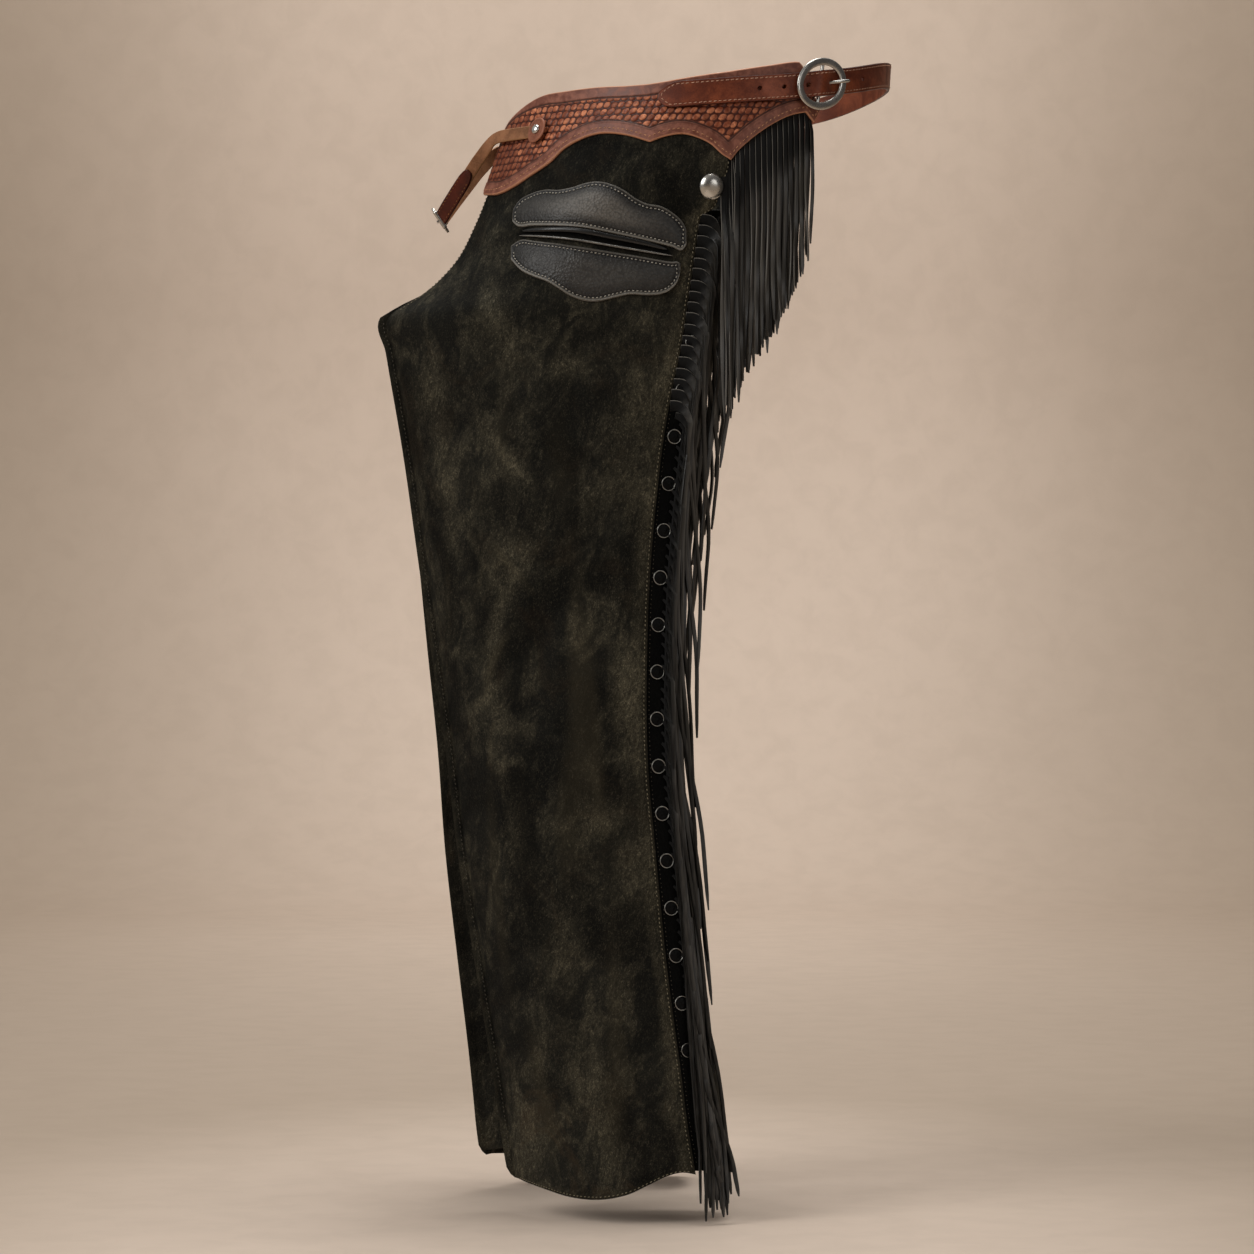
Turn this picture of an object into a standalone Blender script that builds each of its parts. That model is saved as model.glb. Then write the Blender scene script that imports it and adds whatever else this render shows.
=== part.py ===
"""Leather chaps that keep the hollow form of being worn, with nobody in them.

Lengths are in millimetres up to the point where a mesh is made, in metres.
+Z is up, the wearer's front is -Y and the wearer's left is +X. The origin is
the centre of the waist ring. Every leg piece is drawn for the left leg, and
the right leg is its mirror image, swung a little forward below the thigh.
"""

import math
from collections import namedtuple
from functools import lru_cache

import bmesh
import bpy
from mathutils import Vector

MM = 0.001
GAP = 0.3

# Leather thicknesses
FRONT_THICK = 2.0
BACK_THICK = 1.8
PLACKET_THICK = 1.7
YOKE_THICK = 3.0
PATCH_THICK = 2.0
WELT_THICK = 2.3
BELT_THICK = 3.0
# Heights at which pieces rest over the panel's facets
YOKE_REST = 0.5
PATCH_REST = 0.7

# Shape of the leg sections
NOSE_POWER = 0.8
FLANGE = 7.0
SWING = 0.05
SWING_TOP = -343.0

Section = namedtuple("Section", "z front back nose_x tail_x outer_x inner_x power")
SECTIONS = (
    Section(60, -166, 161, 52, 0, 158, 0, 2.2),
    Section(30, -169, 160, 52, 0, 159, 0, 2.2),
    Section(0, -174, 157, 52, 0, 160, 0, 2.2),
    Section(-27, -183, 150, 52, 5, 165, 5, 2.2),
    Section(-55, -193, 118, 50, 35, 168, 10, 2.4),
    Section(-83, -203, 72, 48, 66, 168, 16, 2.8),
    Section(-111, -214, 28, 46, 86, 167, 20, 3.4),
    Section(-144, -232, 23, 44, 94, 166, 22, 4.0),
    Section(-172, -260, 18, 42, 96, 166, 24, 4.0),
    Section(-193, -289, 15, 41, 97, 166, 24, 4.0),
    Section(-225, -284, 11, 42, 99, 166, 26, 4.0),
    Section(-315, -268.5, -5, 46, 103, 168, 31, 4.0),
    Section(-405, -255.5, -15, 51, 107, 170, 36, 4.0),
    Section(-495, -242.5, -19, 57, 111, 174, 41, 4.0),
    Section(-585, -229, -18, 64, 116, 178, 48, 4.0),
    Section(-680, -217.5, -11, 71, 121, 182, 56, 4.0),
    Section(-780, -201.5, 0, 80, 127, 187, 64, 4.0),
    Section(-880, -185, 13, 89, 133, 192, 71, 4.0),
    Section(-960, -174, 24, 96, 138, 196, 76, 4.0),
    Section(-1000, -170, 30, 99, 140, 198, 78, 4.0),
)

Edge = namedtuple("Edge", "z y")
# Free front edge of the panel, from the yoke down to the crotch corner
CROTCH_CURVE = (
    Edge(-60, -193), Edge(-83, -201), Edge(-121, -215), Edge(-144, -230),
    Edge(-160, -245), Edge(-172, -259), Edge(-184, -281), Edge(-193, -296),
)
# Side seam, where the front panel lies over the placket
SEAM = (
    Edge(-60, -1), Edge(-95, -5), Edge(-111, -8), Edge(-176, -17.6),
    Edge(-225, -25), Edge(-273, -34.8), Edge(-313, -41.4), Edge(-354, -46.2),
    Edge(-394, -50.1), Edge(-448, -53.7), Edge(-500, -55.2), Edge(-552, -55.6),
    Edge(-605, -53.7), Edge(-659, -48.8), Edge(-710, -44), Edge(-763, -38.7),
    Edge(-816, -32), Edge(-863, -25.5), Edge(-905, -20.3), Edge(-953, -12.4),
    Edge(-1000, -5),
)
# Rear edge of the front panel above the seam, which covers the placket's top
SHOULDER = (
    Edge(-40, 15), Edge(-60, 16.5), Edge(-73, 14.9), Edge(-88, 8.9),
    Edge(-103, 4.4), Edge(-111.5, -8),
)
Hem = namedtuple("Hem", "y z")
HEM = (
    Hem(-190, -962), Hem(-175, -966), Hem(-146, -972), Hem(-123, -976.5),
    Hem(-98, -976.6), Hem(-73, -971), Hem(-54, -962), Hem(-37, -954),
    Hem(-24, -951), Hem(-8, -954),
)


def along(table, key, name, at):
    """Value of a named column at a place in another, on a curve without kinks."""
    rows = sorted(table, key=lambda row: getattr(row, key))
    xs = [getattr(row, key) for row in rows]
    ys = [getattr(row, name) for row in rows]
    if at <= xs[0]:
        return ys[0]
    if at >= xs[-1]:
        return ys[-1]
    k = max(i for i in range(len(xs) - 1) if xs[i] <= at)
    chords = [(ys[i + 1] - ys[i]) / (xs[i + 1] - xs[i]) for i in range(len(xs) - 1)]

    def slope(i):
        if i == 0 or i == len(xs) - 1:
            return chords[min(i, len(chords) - 1)]
        return 0.5 * (chords[i - 1] + chords[i])

    width = xs[k + 1] - xs[k]
    t = (at - xs[k]) / width
    start = (1 + 2 * t) * (1 - t) ** 2 * ys[k] + t * t * (3 - 2 * t) * ys[k + 1]
    return start + width * (t * (1 - t) ** 2 * slope(k) - t * t * (1 - t) * slope(k + 1))


@lru_cache(maxsize=None)
def section(z):
    return Section(z, *(along(SECTIONS, "z", name, z) for name in Section._fields[1:]))


@lru_cache(maxsize=None)
def seam(z):
    return along(SEAM, "z", "y", z)


def skin(angle, z):
    """Point of the leg's outer surface: angle 0 is its nose, pi its tail, and the
    outer side lies between them."""
    cut = section(round(z, 2))
    middle = 0.5 * (cut.front + cut.back)
    half = 0.5 * (cut.back - cut.front)
    place = -math.cos(angle)
    if place < 0:
        base = cut.nose_x
        bulge = max(0.0, 1 - place * place) ** NOSE_POWER
    else:
        base = cut.tail_x
        bulge = max(0.0, 1 - place ** cut.power) ** (1 / cut.power)
    reach = cut.outer_x if math.sin(angle) >= 0 else cut.inner_x
    return Vector((base + (reach - base) * bulge, middle + half * place, z))


def lay(angle, z, offset):
    """Point at a distance out from the skin."""
    around = skin(angle + 0.01, z) - skin(angle - 0.01, z)
    upward = skin(angle, z + 1) - skin(angle, z - 1)
    return skin(angle, z) + around.cross(upward).normalized() * offset


def angle_at(y, z):
    cut = section(round(z, 2))
    middle = 0.5 * (cut.front + cut.back)
    half = 0.5 * (cut.back - cut.front)
    return math.acos(-max(-0.995, min(0.995, (y - middle) / half)))


def on_skin(y, z, offset):
    return lay(angle_at(y, z), z, offset)


def mix(a, b, t):
    return a + (b - a) * t


def wobble(number, seed):
    """A repeatable value between -1 and 1 for one strand."""
    return math.sin(number * 12.99 + seed * 78.23) * math.cos(number * 4.13 + seed)


class Solid:
    """Points and faces of one closed body."""

    def __init__(self):
        self.points = []
        self.faces = []

    def add(self, point):
        self.points.append(Vector(point))
        return len(self.points) - 1

    def wall(self, outer, inner, holes=(), roots=()):
        """A wall between two grids of points. Cells in holes are left out, and
        the cells of the last row named in roots keep their edge open."""
        out = [[self.add(p) for p in row] for row in outer]
        inn = [[self.add(p) for p in row] for row in inner]
        rows = len(out) - 1
        cols = len(out[0]) - 1
        cells = {(r, c) for r in range(rows) for c in range(cols)} - set(holes)
        for r, c in sorted(cells):
            corners = ((r, c), (r + 1, c), (r + 1, c + 1), (r, c + 1))
            beyond = ((r, c - 1), (r + 1, c), (r, c + 1), (r - 1, c))
            self.faces.append([out[i][j] for i, j in corners])
            self.faces.append([inn[i][j] for i, j in reversed(corners)])
            for k in range(4):
                if beyond[k] in cells or (k == 1 and r == rows - 1 and c in roots):
                    continue
                (a, b), (d, e) = corners[k], corners[(k + 1) % 4]
                self.faces.append([out[d][e], out[a][b], inn[a][b], inn[d][e]])
        return {c: (out[rows][c], out[rows][c + 1], inn[rows][c + 1], inn[rows][c]) for c in roots}

    def strand(self, ring, path):
        """A four-sided thong from an open ring through (centre, half width, half
        thickness) stations."""
        for centre, wide, thick in path:
            corners = (wide + thick, thick - wide, -wide - thick, wide - thick)
            fresh = [self.add(centre + corner) for corner in corners]
            for k in range(4):
                after = (k + 1) % 4
                self.faces.append([ring[k], ring[after], fresh[after], fresh[k]])
            ring = fresh
        self.faces.append(list(ring))

    def turned(self, centre, axis, profile, sides, stretch=1.0):
        """A button: rings of (radius, height) about an axis, closed at both ends.
        Stretch lengthens it along Z."""
        axis = axis.normalized()
        level = axis.cross(Vector((0, 0, 1))).normalized()
        rise = level.cross(axis)
        rings = []
        for radius, height in profile:
            ring = []
            for k in range(sides):
                turn = 2 * math.pi * (k + 0.5) / sides
                spoke = level * math.cos(turn) + rise * (math.sin(turn) * stretch)
                ring.append(self.add(centre + spoke * radius + axis * height))
            rings.append(ring)
        self.faces.append(list(rings[0]))
        self.faces.append(list(rings[-1]))
        for low, high in zip(rings, rings[1:]):
            for k in range(sides):
                after = (k + 1) % sides
                self.faces.append([low[k], low[after], high[after], high[k]])

    def loop(self, stations):
        """A closed frame through (centre, half width, half thickness) stations."""
        rings = []
        for centre, wide, thick in stations:
            corners = (wide + thick, thick - wide, -wide - thick, wide - thick)
            rings.append([self.add(centre + corner) for corner in corners])
        for n, ring in enumerate(rings):
            other = rings[(n + 1) % len(rings)]
            for k in range(4):
                after = (k + 1) % 4
                self.faces.append([ring[k], ring[after], other[after], other[k]])


def placed(point, side):
    if side > 0:
        return point * MM
    swing = SWING * max(0.0, SWING_TOP - point.z)
    return Vector((-point.x, point.y - swing, point.z)) * MM


def finish(name, solid, look, side=1):
    """Make the closed mesh of one piece, in its colour."""
    mesh = bpy.data.meshes.new(name)
    mesh.from_pydata([placed(p, side) for p in solid.points], [], solid.faces)
    work = bmesh.new()
    work.from_mesh(mesh)
    bmesh.ops.recalc_face_normals(work, faces=work.faces)
    work.to_mesh(mesh)
    work.free()
    mesh.shade_smooth()
    mesh.set_sharp_from_angle(angle=math.radians(40))
    colour, roughness, metallic = look
    material = bpy.data.materials.new(name)
    material.use_nodes = True
    shader = material.node_tree.nodes["Principled BSDF"]
    shader.inputs["Base Color"].default_value = (*colour, 1)
    shader.inputs["Roughness"].default_value = roughness
    shader.inputs["Metallic"].default_value = metallic
    mesh.materials.append(material)
    piece = bpy.data.objects.new(name, mesh)
    bpy.context.scene.collection.objects.link(piece)
    return piece


# Looks: colour, roughness, metallic
SUEDE = ((0.022, 0.020, 0.014), 0.85, 0.0)
SMOOTH_BLACK = ((0.012, 0.012, 0.012), 0.5, 0.0)
THONG = ((0.028, 0.028, 0.028), 0.6, 0.0)
STAMPED = ((0.26, 0.075, 0.022), 0.5, 0.0)
BELT = ((0.12, 0.035, 0.018), 0.5, 0.0)
TAN = ((0.36, 0.18, 0.08), 0.6, 0.0)
DARK_BROWN = ((0.06, 0.014, 0.007), 0.45, 0.0)
NICKEL = ((0.55, 0.54, 0.52), 0.3, 1.0)

# Front panel: rows given as (height at the front edge, height at the rear edge)
UPPER_ROWS = (
    (-66, -48), (-95, -73), (-121, -88), (-144, -103),
    (-160, -111.5), (-172, -140), (-184, -168), (-193, -193),
)
LOWER_ROWS = (-225, -270, -315, -360, -410, -460, -510, -560, -610, -660, -715, -770, -825, -880, -925)
FRONT_COLUMNS = (0, 0.08, 0.2, 0.34, 0.49, 0.64, 0.79)
SEAM_ALLOWANCE = 11.0
NOSE_START = math.acos(0.97)
TOP_BUMP = 34.0


def rear_edge(z):
    if z > -111.5:
        return along(SHOULDER, "z", "y", z)
    return seam(z)


def flange_pair(z, y, sign, thick):
    """Outer and inner point of one layer of the inseam flange."""
    nose = section(z).nose_x
    outer = Vector((nose + sign * (GAP / 2 + thick), y, z))
    inner = Vector((nose + sign * GAP / 2, y, z))
    return outer, inner


def front_row(front_z, rear_z, bump, has_flange, hem):
    outer = []
    inner = []
    cut = section(front_z)
    if has_flange:
        start = NOSE_START
        for y in (cut.front - FLANGE, cut.front + 0.5):
            a, b = flange_pair(front_z, y, 1, FRONT_THICK)
            if hem:
                a.z = b.z = along(HEM, "y", "z", y)
            outer.append(a)
            inner.append(b)
        columns = FRONT_COLUMNS
    else:
        start = angle_at(along(CROTCH_CURVE, "z", "y", front_z), front_z)
        columns = (0, 0.02, 0.05) + FRONT_COLUMNS[1:]
    end = angle_at(rear_edge(rear_z), rear_z)
    allowance = angle_at(rear_edge(rear_z) - SEAM_ALLOWANCE, rear_z)
    inset = (allowance - start) / (end - start)
    for t in columns + (inset, 1.0):
        angle = mix(start, end, t)
        z = mix(front_z, rear_z, t) + bump * math.sin(math.pi * t) ** 0.7
        if hem:
            z = along(HEM, "y", "z", skin(angle, z).y)
        outer.append(lay(angle, z, 0))
        inner.append(lay(angle, z, -FRONT_THICK))
    return outer, inner


def leg_front(side, tag):
    solid = Solid()
    rows = []
    last = len(UPPER_ROWS) - 1
    for k, (front_z, rear_z) in enumerate(UPPER_ROWS):
        bump = TOP_BUMP * (1 - k / last) ** 2
        rows.append(front_row(front_z, rear_z, bump, k == last, False))
    rows += [front_row(z, z, 0, True, False) for z in LOWER_ROWS]
    rows.append(front_row(-955, -955, 0, True, True))
    solid.wall([row[0] for row in rows], [row[1] for row in rows])
    finish("leg_front_" + tag, solid, SUEDE, side)


# Back panel: (angle from the tail, height of the free top edge, offset of its face)
Back = namedtuple("Back", "turn top offset")
BACK_START = 9.0
BACK_FACE = -5.15
BACK_COLUMNS = (
    Back(-0.34, -130, BACK_FACE), Back(-0.17, -158, BACK_FACE), Back(0.0, -178, -4.6), Back(0.25, -190, -2.8),
    Back(0.55, -197, -1.0), Back(1.0, -203, 0.0), Back(1.6, -205, 0.0),
    Back(2.3, -201, 0.0), Back(math.pi - NOSE_START, -194, 0.0),
)
BACK_ROWS = (-240, -285, -330, -380, -430, -485, -540, -600, -660, -720, -780, -840, -895)
BACK_HEM = -953.0


def back_row(z, share):
    """A row at height z, drawn up to the free top edge by its share."""
    outer = []
    inner = []
    start = angle_at(seam(z) + BACK_START, z)
    pairs = [(start, -118.0, BACK_FACE)]
    pairs += [(math.pi + column.turn, column.top, column.offset) for column in BACK_COLUMNS]
    for angle, top, offset in pairs:
        height = mix(z, top, share)
        if share > 0 and angle == start:
            angle = angle_at(seam(height) + BACK_START, height)
        outer.append(lay(angle, height, offset))
        inner.append(lay(angle, height, offset - BACK_THICK))
    height = mix(z, -193.0, share)
    for y in (section(height).front + 0.5, section(height).front - FLANGE):
        a, b = flange_pair(height, y, -1, BACK_THICK)
        outer.append(a)
        inner.append(b)
    return outer, inner


def leg_back(side, tag):
    solid = Solid()
    rows = [back_row(BACK_ROWS[0], 1.0), back_row(BACK_ROWS[0], 0.5)]
    rows += [back_row(z, 0.0) for z in BACK_ROWS]
    hem = back_row(BACK_HEM, 0.0)
    front = section(BACK_HEM).front
    for grid in hem:
        for point in grid:
            point.z -= 10.0 * max(0.0, min(1.0, (front + 60 - point.y) / 60))
    rows.append(hem)
    solid.wall([row[0] for row in rows], [row[1] for row in rows])
    finish("leg_back_" + tag, solid, SUEDE, side)


# Yoke: lower and upper edge, column by column from the front tip to the rear end
Rib = namedtuple("Rib", "low_y low_z top_y top_z")
YOKE = (
    Rib(-199.9, -84.5, -199.4, -80.5), Rib(-187.3, -86, -190.5, -54),
    Rib(-173, -81, -181.5, -27), Rib(-159.3, -73, -172.5, -14),
    Rib(-141.3, -62.1, -158, -3.5), Rib(-127.8, -49.8, -144, 2),
    Rib(-113.6, -42.3, -124, 3.6), Rib(-100, -38.3, -107, 4.6),
    Rib(-87, -38, -92, 5), Rib(-70.4, -40.9, -73, 4.8),
    Rib(-52.8, -46.7, -54, 5.6), Rib(-40, -42, -40, 7.6),
    Rib(-25, -39.6, -25, 10.2), Rib(-12.3, -42.3, -12, 12.4),
    Rib(0, -48, 0, 14.3), Rib(10, -56.7, 9, 15.6),
    Rib(18, -61.6, 17, 16.8), Rib(26, -51.9, 26, 18.4),
    Rib(40.8, -39, 40, 20.8), Rib(56, -28.5, 55, 23.4),
    Rib(70.5, -21.1, 66, 25.6), Rib(84, -17.5, 74, 26.8),
    Rib(91, -26, 78, 26.8), Rib(97, -14, 81, 23.5),
)
YOKE_BANDS = (0.0, 0.22, 0.5, 0.76, 1.0)


def yoke(side, tag):
    solid = Solid()
    outer = []
    inner = []
    for t in YOKE_BANDS:
        places = [(mix(r.top_y, r.low_y, t), mix(r.top_z, r.low_z, t)) for r in YOKE]
        outer.append([on_skin(y, z, YOKE_REST + YOKE_THICK) for y, z in places])
        inner.append([on_skin(y, z, YOKE_REST) for y, z in places])
    solid.wall(outer, inner)
    finish("yoke_" + tag, solid, STAMPED, side)


# Placket, behind the seam, and the strip that carries the side fringe
PLACKET_ROWS = (-106, -116, -125, -140, -154, -168, -193) + LOWER_ROWS + (-948,)
PLACKET_COLUMNS = (-8.0, 3.0, 12.0, 21.0)
PLACKET_FACE = -FRONT_THICK - 2 * GAP


def placket(side, tag):
    solid = Solid()
    outer = []
    inner = []
    for z in PLACKET_ROWS:
        outer.append([on_skin(seam(z) + c, z, PLACKET_FACE) for c in PLACKET_COLUMNS])
        inner.append([on_skin(seam(z) + c, z, PLACKET_FACE - PLACKET_THICK) for c in PLACKET_COLUMNS])
    solid.wall(outer, inner)
    finish("placket_" + tag, solid, SMOOTH_BLACK, side)


# Side fringe
STRIP_FRONT = 16.0
STRIP_REAR = 19.0
STRIP_LOW = PLACKET_FACE + 2 * GAP
STRIP_HIGH = 1.0
SIDE_TOP = -122.0
SIDE_END = -936.0
SIDE_STRANDS = 46
THONG_WIDE = 4.2
THONG_THICK = 1.7
LAYERS = 3
LAYER_FIRST = 1.25
LAYER_PITCH = 2.2
FAN_TURN = math.radians(33)
FAN_ALONG = Vector((-math.sin(FAN_TURN), math.cos(FAN_TURN), 0))
FAN_OUT = Vector((math.cos(FAN_TURN), math.sin(FAN_TURN), 0))
TURN_REACH = 5.0
LEVEL_PITCH = 85.0
LOWEST = -990.0


def drift(root_z):
    """How fast a thong works to the rear as it falls."""
    return 0.085 + 0.085 * max(0.0, min(1.0, (root_z + 350) / 230))


def thong_length(root_z, number):
    full = mix(190, 245, max(0.0, min(1.0, (-120 - root_z) / 230)))
    length = full * (1 + 0.05 * wobble(number, 1))
    floor = LOWEST + 12 + 12 * wobble(number, 2)
    return min(length, root_z - floor)


def fan(z, reach, layer):
    root = on_skin(seam(z) + STRIP_REAR, z, 0)
    return root + FAN_ALONG * reach + FAN_OUT * (LAYER_FIRST + LAYER_PITCH * layer)


def side_thong(root_z, number):
    """Stations of one thong: out of the strip, round the turn and down."""
    layer = number % LAYERS
    half_wide = THONG_WIDE / 2
    thick = FAN_OUT * (THONG_THICK / 2)
    stations = [(fan(root_z, 3.0, layer), Vector((0, 0, half_wide)), thick)]
    depth = thong_length(root_z, number)
    first = root_z - 8.5
    end = root_z - depth
    heights = [first]
    level = -LEVEL_PITCH * math.ceil(-first / LEVEL_PITCH + 0.2)
    while level > end + 20:
        heights.append(level)
        level -= LEVEL_PITCH
    heights.append(end)
    for z in heights:
        reach = TURN_REACH + drift(root_z) * (root_z - z)
        stations.append((fan(z, reach, layer), FAN_ALONG * half_wide, thick))
    return stations


def side_fringe(side, tag):
    solid = Solid()
    heights = []
    for k in range(SIDE_STRANDS):
        z = mix(SIDE_TOP, SIDE_END, k / (SIDE_STRANDS - 1))
        heights += [z + THONG_WIDE / 2, z - THONG_WIDE / 2]
    outer = [[on_skin(seam(z) + y, z, STRIP_HIGH) for z in heights] for y in (STRIP_FRONT, STRIP_REAR)]
    inner = [[on_skin(seam(z) + y, z, STRIP_LOW) for z in heights] for y in (STRIP_FRONT, STRIP_REAR)]
    roots = range(0, 2 * SIDE_STRANDS, 2)
    rings = solid.wall(outer, inner, roots=roots)
    for k, column in enumerate(roots):
        root_z = mix(SIDE_TOP, SIDE_END, k / (SIDE_STRANDS - 1))
        solid.strand(rings[column], side_thong(root_z, k))
    finish("side_fringe_" + tag, solid, THONG, side)


# Yoke fringe, rooted behind the rear part of the yoke's lower edge
YOKE_STRANDS = 28
YOKE_FRINGE_START = 21.0
YOKE_FRINGE_END = 89.0
ROOT_WIDE = 2.0
Drop = namedtuple("Drop", "y z")
YOKE_FRINGE_DROP = (Drop(17, -277), Drop(41, -227), Drop(61, -201), Drop(75, -172), Drop(90, -135))


def yoke_low(y):
    return along(YOKE, "low_y", "low_z", y)


def yoke_thong(y, number):
    low = yoke_low(y)
    half_thick = THONG_THICK / 2
    root = on_skin(y, low + 1.0, -1.35)
    ahead = on_skin(y - 1, low, 0) - on_skin(y + 1, low, 0)
    ahead.z = 0
    ahead.normalize()
    out = Vector((-ahead.y, ahead.x, 0))
    if out.x < 0:
        out = -out
    step = out * (2.4 * (number % 2))
    end = along(YOKE_FRINGE_DROP, "y", "z", y) + 7 * wobble(number, 3)
    thick = out * half_thick
    stations = []
    for z, shift, half in ((low - 2, Vector((0, 0, 0)), ROOT_WIDE / 2),
                           (low - 13, step, THONG_WIDE / 2), (end, step, THONG_WIDE / 2)):
        stations.append((Vector((root.x, root.y, z)) + shift, ahead * half, thick))
    return stations


def yoke_fringe(side, tag):
    solid = Solid()
    places = []
    for k in range(YOKE_STRANDS):
        y = mix(YOKE_FRINGE_START, YOKE_FRINGE_END, k / (YOKE_STRANDS - 1))
        places += [y - ROOT_WIDE * 0.42, y + ROOT_WIDE * 0.42]
    outer = [[on_skin(y, yoke_low(y) + rise, -0.2) for y in places] for rise in (6, 1)]
    inner = [[on_skin(y, yoke_low(y) + rise, -2.7) for y in places] for rise in (6, 1)]
    roots = range(0, 2 * YOKE_STRANDS, 2)
    rings = solid.wall(outer, inner, roots=roots)
    for k, column in enumerate(roots):
        y = mix(YOKE_FRINGE_START, YOKE_FRINGE_END, k / (YOKE_STRANDS - 1))
        solid.strand(rings[column], yoke_thong(y, k))
    finish("yoke_fringe_" + tag, solid, THONG, side)


# Pocket: scalloped patches above and below a slit with a welt on each lip
Patch = namedtuple("Patch", "y top low")
UPPER_PATCH = (
    Patch(-173.7, -105, -113), Patch(-169, -96.4, -118), Patch(-156.6, -88.9, -118.6),
    Patch(-144.3, -86.3, -119.2), Patch(-132.8, -87.2, -119.9), Patch(-120.5, -85.4, -120.8),
    Patch(-108.2, -81.9, -122.3), Patch(-98.5, -81, -124.2), Patch(-86.2, -83.7, -126.7),
    Patch(-73.9, -89.8, -129.2), Patch(-65.1, -96, -131.1), Patch(-55.4, -100.4, -133.3),
    Patch(-43.1, -102.6, -136.2), Patch(-32.9, -108.3, -138.8), Patch(-24.6, -116.2, -141.3),
    Patch(-20.6, -124, -136),
)
LOWER_PATCH = (
    Patch(-174.9, -136, -148), Patch(-166.3, -130.7, -158.1), Patch(-154, -132, -164.9),
    Patch(-142.8, -133.8, -169.3), Patch(-132.9, -135.1, -175.4), Patch(-123.2, -136.9, -181.6),
    Patch(-110.8, -138.9, -185.9), Patch(-98.5, -140.8, -186.5), Patch(-82.2, -143.5, -182.8),
    Patch(-69.9, -145.4, -180.4), Patch(-55.4, -147.9, -181), Patch(-43.1, -150.1, -179.8),
    Patch(-34.3, -151.4, -175.4), Patch(-28.1, -151.4, -166.7), Patch(-26.1, -153, -158),
)
WELT_HIGH = 3.2
WELT_STATIONS = 11
UPPER_WELT = (Edge(-122.3, -165), Edge(-123.6, -120), Edge(-129.6, -86), Edge(-136.1, -54), Edge(-140.6, -38))
LOWER_WELT = (Edge(-126.4, -168), Edge(-131.4, -123), Edge(-138.2, -82), Edge(-142.6, -56), Edge(-146.2, -33))


def patch(name, table, side):
    solid = Solid()
    outer = []
    inner = []
    for t in (0, 0.5, 1):
        outer.append([on_skin(p.y, mix(p.top, p.low, t), PATCH_REST + PATCH_THICK) for p in table])
        inner.append([on_skin(p.y, mix(p.top, p.low, t), PATCH_REST) for p in table])
    solid.wall(outer, inner)
    finish(name, solid, SMOOTH_BLACK, side)


def welt(name, line, side):
    solid = Solid()
    outer = []
    inner = []
    first = line[0].y
    last = line[-1].y
    ys = [mix(first, last, k / (WELT_STATIONS - 1)) for k in range(WELT_STATIONS)]
    for rise in (WELT_HIGH / 2, -WELT_HIGH / 2):
        places = [(y, along(line, "y", "z", y) + rise) for y in ys]
        outer.append([on_skin(y, z, PATCH_REST + WELT_THICK) for y, z in places])
        inner.append([on_skin(y, z, PATCH_REST) for y, z in places])
    solid.wall(outer, inner)
    finish(name, solid, SMOOTH_BLACK, side)


# Studs
SNAP_FIRST = -305.0
SNAP_PITCH = 41.4
SNAPS = 12
SNAP_INSET = 9.3
SNAP_RADIUS = 6.3
CONCHO_Y = 0.8
CONCHO_Z = -85.0


def stud(name, y, z, offset, profile, sides, side, stretch=1.0):
    solid = Solid()
    base = on_skin(y, z, offset)
    axis = on_skin(y, z, offset + 1) - base
    solid.turned(base, axis, profile, sides, stretch)
    finish(name, solid, NICKEL, side)


def snaps(side, tag):
    profile = ((SNAP_RADIUS - 0.5, 0), (SNAP_RADIUS, 1.0), (SNAP_RADIUS - 1.6, 2.2))
    for k in range(SNAPS):
        z = SNAP_FIRST - SNAP_PITCH * k
        stud(f"snap_{tag}_{k + 1:02d}", seam(z) + SNAP_INSET, z, PLACKET_FACE + 2 * GAP, profile, 8, side)


def concho(side, tag):
    profile = ((9.8, 0), (10.8, 1.0), (9.6, 3.0), (6.8, 4.8), (3.2, 5.8))
    stud("concho_" + tag, CONCHO_Y, CONCHO_Z, PATCH_REST, profile, 12, side, 1.08)


# Belt strap, from its tip on the left yoke round the back to the right yoke
BELT_HALF = 11.75
BELT_PLAN_Z = 8.0
BELT_TIP_Y = -42.0
BELT_END_Y = 36.0
BELT_REST = YOKE_REST + YOKE_THICK + 2 * GAP
BUCKLE_AT = 141.0
BELT_LIFT = 5.9
BELT_LIFT_REACH = 10.0
HOLE = 4.2
HOLES_AT = tuple(86.0 + 21.5 * k for k in range(6))
BELT_TIP = ((0.0, 2.2), (2.5, 5.6), (8.0, 9.8), (15.5, BELT_HALF))
Rise = namedtuple("Rise", "at z")
BELT_RISE = (
    Rise(0, -5.3), Rise(60, -0.5), Rise(120, 5.2), Rise(170, 12.5), Rise(240, 24),
    Rise(300, 27.6), Rise(360, 24), Rise(430, 12.5), Rise(480, 5.2), Rise(540, -0.5),
)


@lru_cache(maxsize=None)
def belt_plan():
    """The belt's way round the waist as (distance, angle) rows. Past pi the angle
    runs on over the mirrored half."""
    steps = 240
    start = angle_at(BELT_TIP_Y, BELT_PLAN_Z)
    stop = 2 * math.pi - angle_at(BELT_END_Y, BELT_PLAN_Z)
    rows = []
    run = 0.0
    before = None
    for k in range(steps + 1):
        angle = mix(start, stop, k / steps)
        point = ring_place(angle, BELT_PLAN_Z)[0]
        if before is not None:
            run += (point - before).length
        before = point
        rows.append((run, angle))
    return rows


def ring_place(angle, z):
    """Point of the waist ring and its outward direction, on either half."""
    near = min(angle if angle < math.pi else 2 * math.pi - angle, math.pi - 0.012)
    point = skin(near, z)
    ahead = skin(near + 0.01, z) - skin(near - 0.01, z)
    out = Vector((ahead.y, -ahead.x, 0)).normalized()
    if angle > math.pi:
        point.x = -point.x
        out.x = -out.x
    return point, out


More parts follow.
